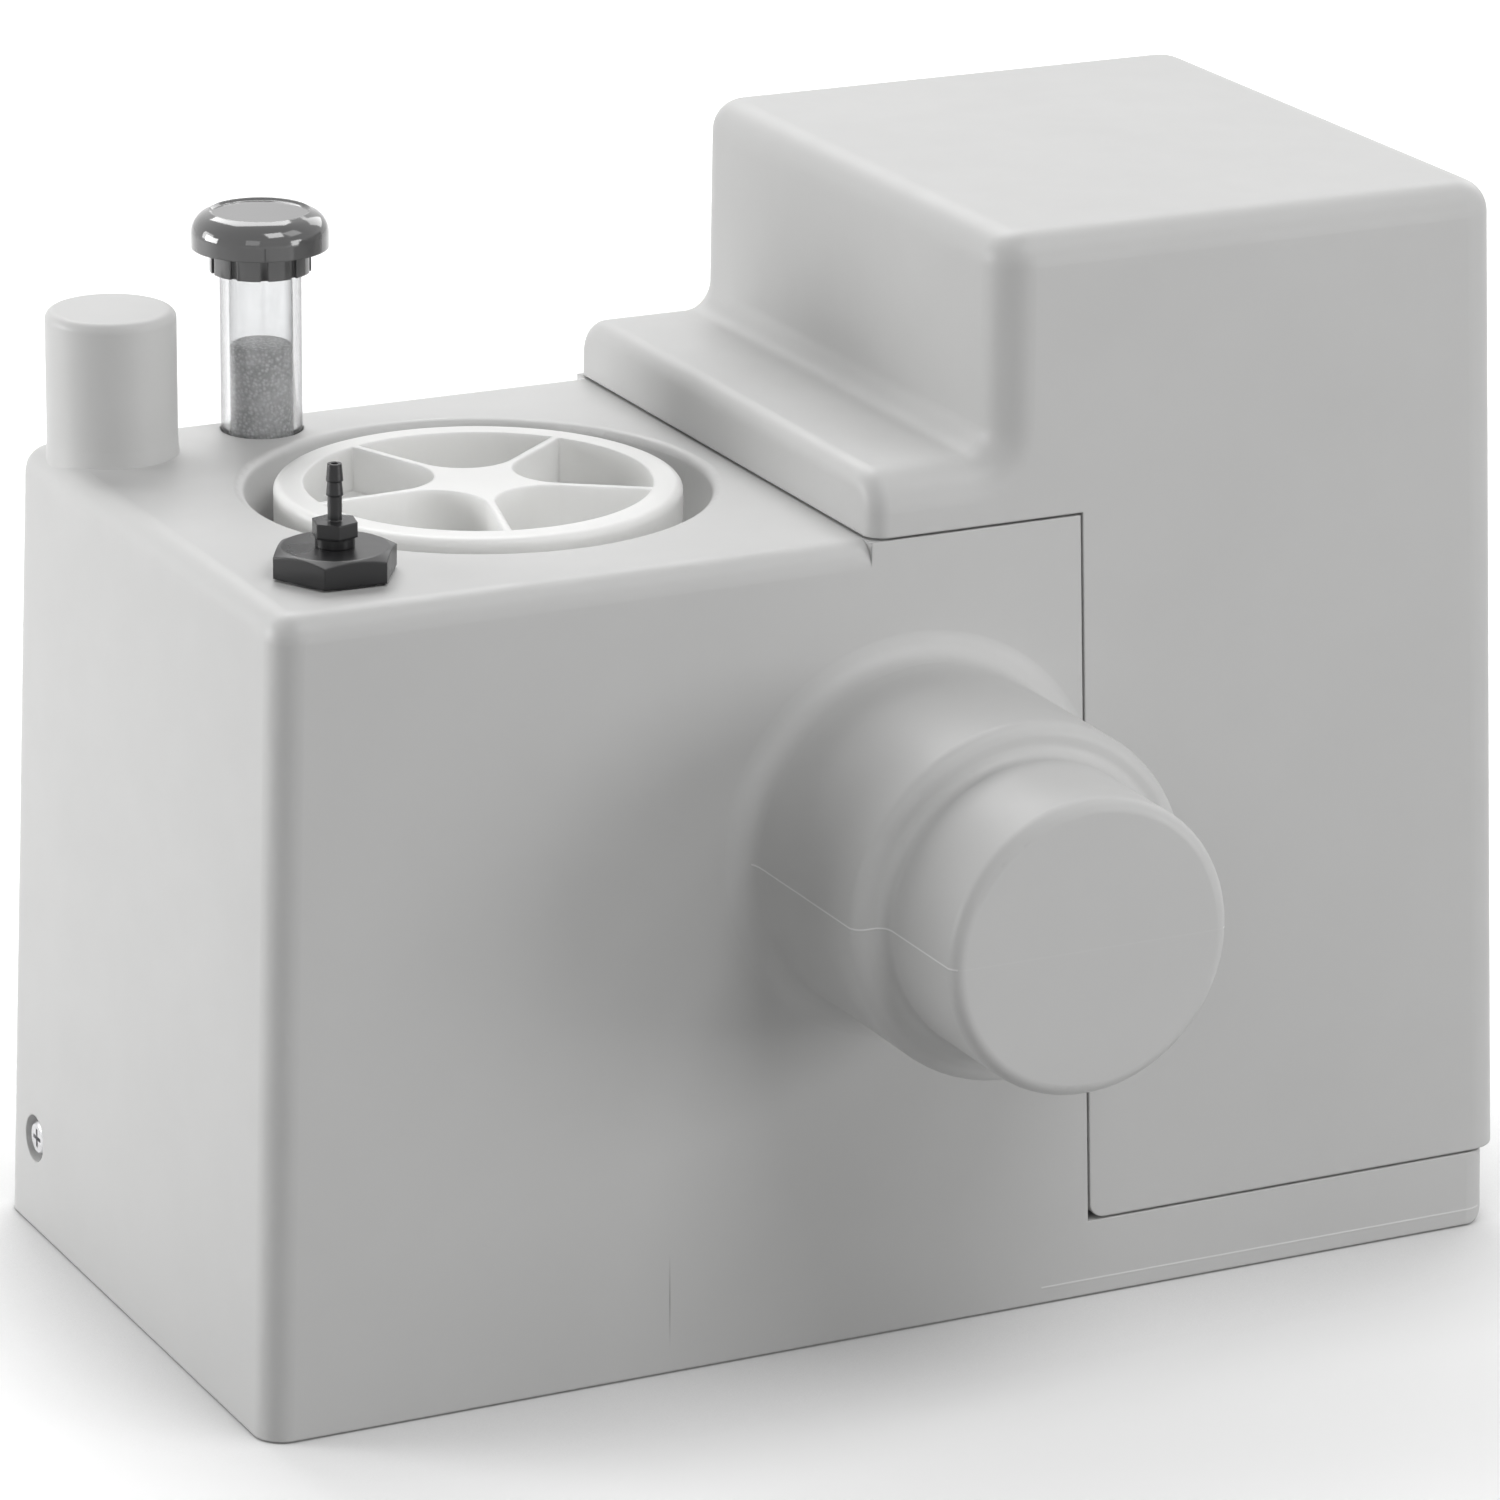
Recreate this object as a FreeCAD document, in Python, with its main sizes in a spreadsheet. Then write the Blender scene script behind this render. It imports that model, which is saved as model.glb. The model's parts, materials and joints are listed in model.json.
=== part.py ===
import FreeCAD, Part
import os
import re
import Sketcher

# A macerator pump: a moulded tank with blank inlet stubs, a star lid and a vent, and a stepped hood over
# the motor, the pump and the level switch. The origin is the middle of the tank's footprint on the floor,
# +Z is up, +X runs along the front towards the motor, and the front with the large stub faces -Y.

SIZES = {
    "Tank moulding": {
        "tank_length": 420, "tank_depth": 212, "tank_height": 250, "tank_wall": 5,
        "chamber_length": 274.7, "ledge_height": 24.1, "seam_gap": 0.8,
        "draft_left": 1.8, "draft_front": 1.2, "draft_back": 0.7, "draft_seam": 1.7,
        "corner_radius": 9, "top_radius": 8, "ledge_radius": 9, "ledge_blend": 0.15,
        "channel_width": 26, "rib_width": 5,
    },
    "Soil inlet stub": {
        "stub_inset": 212, "stub_level": 158, "soil_radius": 55, "soil_reach": 65.5,
        "small_radius": 45, "small_reach": 107.2, "stub_wall": 4, "stub_root_radius": 8,
        "stub_edge_radius": 4, "stub_taper": 6, "stub_foot_length": 8,
    },
    "Waste inlet stub": {
        "waste_inset": 30.4, "waste_from_back": 25.4, "waste_radius": 20, "waste_height": 45,
        "waste_edge_radius": 3, "waste_flare": 0.4, "waste_flare_height": 5,
    },
    "Lid and its well": {
        "lid_inset": 117.6, "lid_offset": 3, "well_radius": 71.2, "well_foot_radius": 65,
        "well_depth": 18, "neck_radius": 53.6, "neck_wall": 4.5, "neck_depth": 22,
        "gasket_thickness": 2, "gasket_width": 6.5, "lid_radius": 61.7, "lid_proud": 1,
        "lid_edge": 2.5, "well_lip": 3.5, "pocket_radius": 52.8, "pocket_depth": 14, "star_rib": 2.4,
        "apex_centre": 30.3, "star_turn": 3,
        "skirt_wall": 4, "skirt_depth": 20, "thread_clearance": 0.08,
    },
    "Vent": {
        "vent_inset": 81.9, "vent_from_back": 20, "vent_socket_depth": 3, "vent_socket_room": 0.3,
        "vent_ring_thickness": 1, "vent_ring_bore": 8, "vent_hole_radius": 6, "tube_radius": 12.6,
        "tube_wall": 2.8, "tube_length": 61.5, "screen_thickness": 1.2, "carbon_height": 28,
        "carbon_heap": 1.5, "carbon_clearance": 0.3, "cap_radius": 21.2, "cap_overlap": 1.5,
        "cap_height": 11.3, "cap_rise": 2.5, "cap_shoulder": 7,
        "cap_dish_radius": 15.5, "cap_dish_depth": 0.8, "cap_wall": 2.2, "collar_radius": 15.7,
        "collar_height": 7.5, "cap_clearance": 0.08, "notch_width": 2.2, "notch_depth": 1.2,
    },
    "Plug and hose barb": {
        "plug_inset": 41.6, "plug_from_front": 41.5, "plug_across": 33.2, "plug_height": 7.8,
        "plug_chamfer": 1.6, "plug_turn": -2.1, "plug_spigot_radius": 13, "plug_spigot_length": 16,
        "plug_seal_thickness": 0.8, "plug_seal_width": 3, "barb_across": 12, "barb_hub_radius": 5.8,
        "barb_hub_height": 3.2, "barb_hex_height": 4.5, "barb_stem_radius": 2.1, "barb_radius": 2.5,
        "barb_length": 17, "barb_bore": 1.1, "barb_thread_radius": 4, "barb_thread_length": 8,
    },
    "Fixing screws": {
        "fix_from_back": 24.2, "fix_level": 29.4, "fix_low_level": 12, "fix_recess_radius": 7.5,
        "fix_recess_depth": 3.5, "fix_boss_radius": 11, "fix_boss_length": 18, "fix_head_radius": 5.6,
        "fix_head_height": 2.8, "fix_shank_radius": 3, "fix_shank_length": 11, "insert_radius": 5,
        "insert_length": 12, "cross_length": 6, "cross_width": 1.3, "cross_depth": 1.4,
    },
    "Motor hood": {
        "hood_height": 336.9, "hood_overhang": 5.4, "hood_draft": 2.43, "hood_wall": 4,
        "tower_start": 239.3, "step_start": 197.3, "step_height": 269.7, "hood_corner_radius": 12,
        "hood_top_radius": 10, "step_radius": 6, "step_root_radius": 8, "hood_foot_radius": 5,
        "hood_screw_radius": 2,
        "lug_width": 16, "lug_depth": 12, "lug_height": 22, "lug_spread": 120, "hood_head_radius": 4.2,
        "hood_head_height": 2.2, "hood_screw_length": 14, "notch_clearance": 1.5,
    },
    "Pump": {
        "motor_inset": 74, "foot_height": 6, "foot_radius": 8, "foot_circle": 34, "casing_wall": 4,
        "suction_chamber": 30, "suction_radius": 42, "lip_thickness": 2, "ring_thickness": 4,
        "ring_radius": 30, "ring_lip": 4, "eye_radius": 20, "cutter_slot_width": 3,
        "cutter_slot_depth": 5, "volute_height": 22, "volute_radius": 50, "casing_radius": 57,
        "flange_edge": 6.5, "flange_thickness": 12, "groove_start": 52, "groove_width": 3,
        "groove_depth": 2.4, "head_room": 5, "casing_screw_radius": 2.5,
        "casing_screw_length": 18, "casing_head_radius": 4.5, "casing_head_height": 4,
        "plate_thickness": 8, "inlet_radius": 17, "inlet_bore": 13.5, "inlet_drop": 16,
        "inlet_into_tank": 6, "sleeve_thickness": 3, "outlet_radius": 13, "outlet_bore": 10,
        "outlet_cover": 1,
    },
    "Rotating pieces": {
        "shaft_radius": 6, "shaft_above_fan": 3, "impeller_room": 3,
        "impeller_gap": 1, "vane_height": 10, "vane_width": 3.5, "disc_thickness": 3,
        "hub_radius": 11, "blade_length": 36, "blade_width": 11, "blade_thickness": 3,
        "blade_gap": 1, "nut_across": 17, "nut_height": 6, "seal_radius": 12, "seat_radius": 14,
        "seat_depth": 6, "seal_gap": 0.05, "shaft_room": 0.8, "fan_radius": 38, "fan_hub_radius": 11,
        "fan_height": 16, "fan_gap": 6, "fan_disc": 2, "fan_blade_width": 1.8,
    },
    "Motor": {
        "stator_radius": 52, "stator_bore": 30.4, "rotor_radius": 30, "stack_height": 90,
        "back_iron": 10.6, "slot_width": 5, "shield_height": 30, "shield_ring": 10, "shield_web": 6,
        "bearing_radius": 16, "bearing_width": 10, "race_radius": 8.5, "race_gap": 0.05,
        "bearing_hub": 5, "winding_room": 0.5, "winding_width": 9.5, "winding_height": 16,
        "end_ring_height": 7, "tie_edge": 4.7, "tie_radius": 2.5, "tie_nut_height": 4,
        "post_radius": 4, "tray_gap": 6, "tray_thickness": 2, "tray_length": 112, "tray_width": 96,
    },
    "Electrics": {
        "capacitor_radius": 16, "capacitor_length": 74, "capacitor_offset": 30, "clip_width": 12,
        "clip_thickness": 1.2, "block_length": 58, "block_width": 22, "block_height": 17,
        "block_offset": 28, "terminal_radius": 2.6, "gland_level": 60, "gland_offset": 42,
        "gland_bore": 4, "gland_radius": 8, "gland_across": 22, "gland_flange": 5,
        "gland_nut_height": 5, "gland_stem": 12, "gland_dome": 10,
    },
    "Level switch": {
        "switch_inset": 248, "dip_radius": 9, "dip_wall": 2, "dip_end": 40, "dip_flange": 2,
        "dip_flange_radius": 13, "cup_radius": 19, "cup_rim": 3, "cup_floor": 3, "cup_depth": 2,
        "membrane_thickness": 1.2, "membrane_boss": 1.4, "membrane_boss_radius": 5,
        "cover_height": 6.2, "cover_top": 1.5, "plunger_radius": 3, "plunger_foot": 1,
        "plunger_foot_radius": 4.5, "plunger_length": 10, "plunger_clearance": 0.06,
        "lever_gap": 0.3, "lever_thickness": 0.6, "lever_width": 5, "lever_arm": 30,
        "lever_tip": 4, "lever_pin_radius": 0.8, "eye_wall": 0.9, "switch_length": 28,
        "switch_width": 10.3, "switch_depth": 16, "switch_lift": 4, "ear_width": 1.6,
        "ear_length": 4, "bracket_thickness": 1.5, "button_radius": 1.2, "button_height": 2.4,
    },
    "Outlet and check valve": {
        "outlet_end": 10, "outlet_sleeve_start": 1.5, "outlet_sleeve_length": 20,
        "sleeve_wall": 3.5, "clip_band": 0.8, "clip_band_width": 7, "elbow_spigot": 14,
        "elbow_bore": 10, "valve_radius": 19.5, "valve_bore": 16.5, "valve_length": 32,
        "valve_wall": 3, "riser_radius": 14, "riser_bore": 10.5, "riser_height": 62,
        "riser_step_height": 20, "riser_step": 1.5, "riser_collar": 1.5, "riser_collar_height": 24,
        "flap_radius": 12, "flap_thickness": 3, "flap_gap": 0.3, "flap_pin_rise": 12.5,
        "flap_pin_back": 3.5, "flap_pin_radius": 1.25,
        "flap_pin_clearance": 0.05, "flap_pin_length": 24, "flap_lug": 2.6, "flap_lug_width": 6,
    },
}
STAR_ARMS = 5
CHANNELS = 4
CAP_NOTCHES = 10
CUTTER_SLOTS = 8
VANES = 6
FAN_BLADES = 8
STATOR_SLOTS = 12
FEET = 3
FOOT_START = 30
TIE_BOLTS = 4
TIE_START = 45
CASING_SCREWS = 4

doc = FreeCAD.newDocument("MaceratorPump")
sheet = doc.addObject("Spreadsheet::Sheet", "Sizes")
ALIASES = set()
row = 1
for group, cells in SIZES.items():
    sheet.set(f"A{row}", group)
    row += 1
    for alias, value in cells.items():
        sheet.set(f"A{row}", alias.replace("_", " "))
        sheet.set(f"B{row}", str(value))
        sheet.setAlias(f"B{row}", alias)
        ALIASES.add(alias)
        row += 1
doc.recompute()

NODES = {}
DIRECTIONS = {
    "+Z": FreeCAD.Vector(0, 0, 1), "-Z": FreeCAD.Vector(0, 0, -1),
    "+Y": FreeCAD.Vector(0, 1, 0), "-Y": FreeCAD.Vector(0, -1, 0),
    "+X": FreeCAD.Vector(1, 0, 0), "-X": FreeCAD.Vector(-1, 0, 0),
}


def bound(text):
    """The expression with each size's alias tied to the sheet."""
    return re.sub(r"[a-z_]+", lambda word: "Sizes." + word[0] if word[0] in ALIASES else word[0], str(text))


def number(text):
    """The expression's value now."""
    return float(sheet.evalExpression(bound(text)))


def tie(thing, prop, text):
    thing.setExpression(prop, bound(text))


def place(thing, x=0, y=0, z=0, axis="+Z", turn=0):
    """Stand the piece at x, y, z with its own Z along the axis, turned about it."""
    rotation = FreeCAD.Rotation(DIRECTIONS["+Z"], DIRECTIONS[axis])
    spin = FreeCAD.Rotation(DIRECTIONS["+Z"], number(turn))
    base = FreeCAD.Vector(number(x), number(y), number(z))
    thing.Placement = FreeCAD.Placement(base, rotation * spin)
    for name, text in (("x", x), ("y", y), ("z", z)):
        tie(thing, f"Placement.Base.{name}", text)
    return thing


def new_body(name):
    return doc.addObject("PartDesign::Body", name)


def new_sketch(body, name, role, offset=0, turn=0):
    """An empty sketch on one of the body's own planes, moved along the plane's normal."""
    sketch = body.newObject("Sketcher::SketchObject", name)
    plane = [item for item in body.Origin.OriginFeatures if item.Role == role][0]
    sketch.AttachmentSupport = [(plane, "")]
    sketch.MapMode = "FlatFace"
    spin = FreeCAD.Rotation(DIRECTIONS["+Z"], number(turn))
    sketch.AttachmentOffset = FreeCAD.Placement(FreeCAD.Vector(0, 0, number(offset)), spin)
    tie(sketch, "AttachmentOffset.Base.z", offset)
    return sketch


def outline(sketch, points):
    """A closed outline of straight lines whose corners are tied to the sheet."""
    spots = [FreeCAD.Vector(number(x), number(y), 0) for x, y in points]
    first = sketch.GeometryCount
    count = len(spots)
    for index in range(count):
        line = Part.LineSegment(spots[index], spots[(index + 1) % count])
        sketch.addGeometry(line, False)
    for index in range(count):
        following = first + (index + 1) % count
        sketch.addConstraint(Sketcher.Constraint("Coincident", first + index, 2, following, 1))
    for index, (x, y) in enumerate(points):
        for kind, text, value in (("DistanceX", x, spots[index].x), ("DistanceY", y, spots[index].y)):
            place_at = Sketcher.Constraint(kind, -1, 1, first + index, 1, value)
            tie(sketch, f"Constraints[{sketch.addConstraint(place_at)}]", text)
    return sketch


def circle(sketch, radius, x=0, y=0):
    spot = FreeCAD.Vector(number(x), number(y), 0)
    index = sketch.addGeometry(Part.Circle(spot, DIRECTIONS["+Z"], number(radius)), False)
    size = sketch.addConstraint(Sketcher.Constraint("Radius", index, number(radius)))
    tie(sketch, f"Constraints[{size}]", radius)
    for kind, text, value in (("DistanceX", x, spot.x), ("DistanceY", y, spot.y)):
        place_at = Sketcher.Constraint(kind, -1, 1, index, 3, value)
        tie(sketch, f"Constraints[{sketch.addConstraint(place_at)}]", text)
    return sketch


def turned(name, points, x=0, y=0, z=0, axis="+Z"):
    """A turned piece: the outline of radius and height goes round the axis."""
    body = new_body(name)
    sketch = outline(new_sketch(body, name + "_outline", "XZ_Plane"), points)
    spin = body.newObject("PartDesign::Revolution", name + "_turn")
    spin.Profile = sketch
    spin.ReferenceAxis = (sketch, ["V_Axis"])
    spin.Angle = 360
    sketch.Visibility = False
    return place(body, x, y, z, axis)


def ring(name, inner, outer, low, high, x=0, y=0, z=0, axis="+Z"):
    return turned(name, [(inner, low), (outer, low), (outer, high), (inner, high)], x, y, z, axis)


def rod(name, radius, low, high, x=0, y=0, z=0, axis="+Z"):
    return ring(name, 0, radius, low, high, x, y, z, axis)


def padded(name, points, low, height, x=0, y=0, z=0, axis="+Z", hole=None, turn=0):
    """A flat outline pulled up from the low level, with an optional round hole at its middle."""
    body = new_body(name)
    sketch = outline(new_sketch(body, name + "_outline", "XY_Plane", low, turn), points)
    if hole:
        circle(sketch, hole)
    pad = body.newObject("PartDesign::Pad", name + "_pad")
    pad.Profile = sketch
    pad.Length = number(height)
    tie(pad, "Length", height)
    return place(body, x, y, z, axis)


def hexagon(across):
    """The six corners of a hexagon, the first on the X axis."""
    corner = f"({across}) / 2 / cos(30)"
    return [(f"{corner} * cos({angle})", f"{corner} * sin({angle})") for angle in range(0, 360, 60)]


def box(name, x_range, y_range, z_range):
    block = doc.addObject("Part::Box", name)
    for prop, axis, (low, high) in (("Length", "x", x_range), ("Width", "y", y_range),
                                    ("Height", "z", z_range)):
        tie(block, prop, f"({high}) - ({low})")
        tie(block, f"Placement.Base.{axis}", low)
    return block


def tapered(name, low, foot, high, head):
    """A block between two rectangles, each given by its X and Y ranges."""
    sketches = []
    for level, (x0, x1, y0, y1) in ((low, foot), (high, head)):
        sketch = doc.addObject("Sketcher::SketchObject", f"{name}_outline_{len(sketches)}")
        sketch.Placement.Base.z = number(level)
        tie(sketch, "Placement.Base.z", level)
        sketches.append(outline(sketch, [(x0, y0), (x1, y0), (x1, y1), (x0, y1)]))
    loft = doc.addObject("Part::Loft", name)
    loft.Sections = sketches
    loft.Solid = True
    loft.Ruled = True
    return loft


def polar(body, feature, name, count):
    """Repeat the body's last feature about the body's own Z axis."""
    axis = [item for item in body.Origin.OriginFeatures if item.Role == "Z_Axis"][0]
    pattern = body.newObject("PartDesign::PolarPattern", name)
    pattern.Originals = [feature]
    pattern.Axis = (axis, [""])
    pattern.Angle = 360
    pattern.Occurrences = count
    body.Tip = pattern
    return pattern


def fused(name, pieces):
    join = doc.addObject("Part::MultiFuse", name)
    join.Shapes = pieces
    join.Refine = True
    return join


def cut(name, base, tools):
    """The base less the tools; the cut has to take something away."""
    tool = tools[0] if len(tools) == 1 else fused(name + "_tools", tools)
    result = doc.addObject("Part::Cut", name)
    result.Base = base
    result.Tool = tool
    result.Refine = True
    doc.recompute()
    for item in (base, tool, result):
        if item.Shape.isNull():
            raise RuntimeError(item.Name + " has no shape")
    if result.Shape.Volume >= base.Shape.Volume:
        raise RuntimeError(name + " cuts nothing")
    return result


def common(name, first, second):
    result = doc.addObject("Part::MultiCommon", name)
    result.Shapes = [first, second]
    result.Refine = True
    return result


def group(name, pieces):
    bundle = doc.addObject("Part::Compound", name)
    bundle.Links = pieces
    return bundle


def rounded(name, base, radius, wanted):
    """Round the base's edges that the test picks, by the sheet's radius."""
    doc.recompute()
    size = number(radius)
    picked = [i for i, edge in enumerate(base.Shape.Edges, 1) if wanted(edge)]
    if not picked:
        raise RuntimeError(name + " finds no edge")
    fillet = doc.addObject("Part::Fillet", name)
    fillet.Base = base
    fillet.Edges = [(index, size, size) for index in picked]
    doc.recompute()
    if fillet.Shape.isNull() or not fillet.Shape.isValid():
        raise RuntimeError(f"{name} fails on {len(picked)} edges")
    return fillet


def pierced(name, body, radius, depth, places, top):
    """Drill round holes down from a level of the body, one at each place."""
    sketch = new_sketch(body, name + "_holes", "XY_Plane", top)
    for x, y in places:
        circle(sketch, radius, x, y)
    before = body.Tip
    hole = body.newObject("PartDesign::Pocket", name)
    hole.Profile = sketch
    hole.Length = number(depth)
    tie(hole, "Length", depth)
    doc.recompute()
    if hole.Shape.Volume >= before.Shape.Volume:
        raise RuntimeError(name + " cuts nothing")
    return hole


def around(radius, count, start=0):
    """Places on a circle, evenly spaced."""
    angles = [start + 360 * index / count for index in range(count)]
    return [(f"({radius}) * cos({angle})", f"({radius}) * sin({angle})") for angle in angles]


def keep(node, piece):
    piece.Label = node
    NODES[node] = piece
    return piece


LEFT = "(-tank_length / 2)"
RIGHT = "(tank_length / 2)"
FRONT = "(-tank_depth / 2)"
BACK = "(tank_depth / 2)"
TOP = "tank_height"


def left_at(z):
    return f"({LEFT} + ({z}) * tan(draft_left))"


def front_at(z):
    return f"({FRONT} + ({z}) * tan(draft_front))"


def back_at(z):
    return f"({BACK} - ({z}) * tan(draft_back))"


def seam_at(z):
    return f"({LEFT} + chamber_length - ({z}) * tan(draft_seam))"


def hood_right_at(z):
    return f"({RIGHT} + hood_overhang - ({z}) * tan(hood_draft))"


STUB_X = f"({LEFT} + stub_inset)"
WASTE_X = f"({LEFT} + waste_inset)"
WASTE_Y = f"({BACK} - waste_from_back)"
LID_X = f"({LEFT} + lid_inset)"
VENT_X = f"({LEFT} + vent_inset)"
VENT_Y = f"({BACK} - vent_from_back)"
PLUG_X = f"({LEFT} + plug_inset)"
PLUG_Y = f"({FRONT} + plug_from_front)"
FIX_Y = f"({BACK} - fix_from_back)"
SWITCH_X = f"({LEFT} + switch_inset)"
MOTOR_X = f"({RIGHT} - motor_inset)"
SEAT_Z = "(tank_height - well_depth)"
CASE_Z = "(ledge_height + foot_height)"
INLET_Z = f"({CASE_Z} + inlet_drop + casing_wall)"
EYE_Z = f"({CASE_Z} + casing_wall + suction_chamber)"
VOLUTE_Z = f"({EYE_Z} + lip_thickness + ring_thickness)"
OUTLET_X = f"({MOTOR_X} - volute_radius + outlet_radius)"
IMPELLER = "(volute_radius - impeller_room)"
PLATE_Z = f"({VOLUTE_Z} + volute_height)"
OUTLET_Z = f"({PLATE_Z} - outlet_radius - outlet_cover)"
MOTOR_Z = f"({PLATE_Z} + plate_thickness)"
CORE_Z = f"({MOTOR_Z} + shield_height)"
CORE_TOP = f"({CORE_Z} + stack_height)"
MOTOR_TOP = f"({CORE_TOP} + shield_height)"
FAN_Z = f"({MOTOR_TOP} + fan_gap)"
TIE_CIRCLE = "(stator_radius - tie_edge)"
SCREW_CIRCLE = "(stator_radius + casing_head_radius + head_room)"
FLANGE = f"({SCREW_CIRCLE} + flange_edge)"
TRAY_Z = f"({FAN_Z} + fan_height + shaft_above_fan + tray_gap)"


def upright(edge):
    """True for a straight edge that runs mostly up."""
    way = edge.Vertexes[-1].Point - edge.Vertexes[0].Point
    return len(edge.Vertexes) == 2 and abs(way.z) > 0.9 * way.Length


def level_at(edge, level):
    """True where the whole edge lies at the level."""
    return abs(edge.BoundBox.ZMin - number(level)) < 0.01 and abs(edge.BoundBox.ZMax - number(level)) < 0.01


# The chamber, the seat that the hood stands on and the ledge under the hood make the moulding's outside.
def tank_outside():
    foot = (left_at(0), seam_at(0), front_at(0), back_at(0))
    head = (left_at(TOP), seam_at(TOP), front_at(TOP), back_at(TOP))
    chamber = tapered("chamber", "0", foot, TOP, head)
    middle = number(f"({LEFT} + chamber_length / 2)")
    chamber = rounded("chamber_corners", chamber, "corner_radius",
                      lambda edge: upright(edge) and edge.BoundBox.XMax < middle)
    end = number(seam_at(TOP))
    chamber = rounded("chamber_top", chamber, "top_radius",
                      lambda edge: level_at(edge, TOP) and edge.BoundBox.XMin < end - 1)
    seat_low = f"({TOP} - 2 * top_radius)"
    step = f"({LEFT} + step_start)"
    foot = (step, seam_at(seat_low), front_at(seat_low), back_at(seat_low))
    head = (step, seam_at(TOP), front_at(TOP), back_at(TOP))
    seat = tapered("hood_seat", seat_low, foot, TOP, head)
    inside = f"({seam_at(0)} - 4 * tank_wall)"
    end_top = f"({RIGHT} - ledge_height * tan(draft_left))"
    foot = (inside, RIGHT, front_at(0), back_at(0))
    head = (inside, end_top, front_at("ledge_height"), back_at("ledge_height"))
    ledge = tapered("ledge", "0", foot, "ledge_height", head)
    far = number(f"({RIGHT} - 2)")
    ledge = rounded("ledge_corners", ledge, "corner_radius",
                    lambda edge: upright(edge) and edge.BoundBox.XMax > far)
    turn_x = f"({RIGHT} - ledge_radius - ledge_blend)"
    turn_z = "(ledge_radius - ledge_blend)"
    wide = (f"2 * {FRONT}", f"2 * {BACK}")
    below = box("below_foot", (turn_x, f"{RIGHT} + 1"), wide, ("-1", turn_z))
    round_end = rod("foot_round", "ledge_radius", *wide, turn_x, 0, turn_z, "+Y")
    ledge = cut("ledge_ribbed", ledge, [cut("foot_waste", below, [round_end])] + ledge_channels())
    stub = turned("stub_outside", [
        (0, 0), ("soil_radius + stub_taper", 0),
        ("soil_radius", f"{BACK} + stub_foot_length"), ("soil_radius", f"{BACK} + soil_reach"),
        ("small_radius", f"{BACK} + soil_reach"), ("small_radius", f"{BACK} + small_reach"),
        (0, f"{BACK} + small_reach"),
    ], STUB_X, 0, "stub_level", "-Y")
    end_y = number(f"-({BACK} + soil_reach)")
    tip_y = number(f"-({BACK} + small_reach)")
    edge_y = (end_y, tip_y)
    stub = rounded("stub_edges", stub, "stub_edge_radius", lambda edge: len(edge.Vertexes) == 1 and min(
        abs(edge.BoundBox.YMin - y) + abs(edge.BoundBox.YMax - y) for y in edge_y) < 0.02)
    waste = turned("waste_stub", [
        (0, f"{TOP} - 2 * tank_wall"), ("waste_radius + waste_flare", f"{TOP} - 2 * tank_wall"),
        ("waste_radius + waste_flare", TOP), ("waste_radius", f"{TOP} + waste_flare_height"),
        ("waste_radius", f"{TOP} + waste_height"), (0, f"{TOP} + waste_height"),
    ], WASTE_X, WASTE_Y)
    waste = rounded("waste_edge", waste, "waste_edge_radius",
                    lambda edge: level_at(edge, f"{TOP} + waste_height"))
    outside = fused("tank_blocks", [chamber, seat, ledge, stub, waste])
    doc.recompute()
    axis = FreeCAD.Vector(number(STUB_X), 0, number("stub_level"))
    front = number(FRONT)
    wall = number("tank_wall")
    foot_end = number(f"{BACK} + stub_foot_length")

    def at_root(edge):
        middle = edge.valueAt((edge.FirstParameter + edge.LastParameter) / 2)
        across = FreeCAD.Vector(middle.x, 0, middle.z) - axis
        radius = number("soil_radius") + number("stub_taper") * (1 + middle.y / foot_end)
        return abs(across.Length - radius) < 0.05 and abs(middle.y - front) < wall

    return rounded("stub_root", outside, "stub_root_radius", at_root)


def ledge_channels():
    """Long channels that lighten the ledge from below."""
    tools = []
    pitch = "(channel_width + rib_width)"
    start = f"({seam_at(0)} + rib_width + 2 * tank_wall)"
    for index in range(CHANNELS):
        low = f"{start} + {index} * {pitch}"
        tools.append(box(f"channel_{index}", (low, f"{low} + channel_width"),
                         (f"{FRONT} + 2 * tank_wall", f"{BACK} - 2 * tank_wall"),
                         ("-1", "ledge_height - tank_wall")))
    return tools


# The hollow runs through the chamber into the stubs.
def tank_inside():
    low = "tank_wall"
    high = f"({TOP} - tank_wall)"

    def inset(z):
        return (f"{left_at(z)} + tank_wall", f"{seam_at(z)} - tank_wall",
                f"{front_at(z)} + tank_wall", f"{back_at(z)} - tank_wall")

    hollow = tapered("hollow", low, inset(low), high, inset(high))
    soil = "(soil_radius - stub_wall)"
    small = "(small_radius - stub_wall)"
    stub = turned("stub_bore", [
        (0, f"{BACK} - 4 * tank_wall"), (soil, f"{BACK} - 4 * tank_wall"),
        (soil, f"{BACK} + soil_reach - stub_wall"), (small, f"{BACK} + soil_reach - stub_wall"),
        (small, f"{BACK} + small_reach - stub_wall"), (0, f"{BACK} + small_reach - stub_wall"),
    ], STUB_X, 0, "stub_level", "-Y")
    waste = rod("waste_bore", "waste_radius - stub_wall", f"{TOP} - 4 * tank_wall",
                f"{TOP} + waste_height - stub_wall", WASTE_X, WASTE_Y)
    clear = common("waste_bore_clear", waste, box("waste_room", (f"{left_at(TOP)} + tank_wall", "0"),
                                                 ("0", f"{back_at(TOP)} - tank_wall"),
                                                 ("0", f"{TOP} + waste_height")))
    return fused("tank_hollow", [hollow, stub, clear])


def lug_x(side):
    return f"({MOTOR_X} + ({side}) * lug_spread / 2)"


LUG_FACE = f"({back_at('ledge_height + lug_height')} - hood_wall - seam_gap)"
LUG_Z = "(ledge_height + lug_height / 2)"


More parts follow.
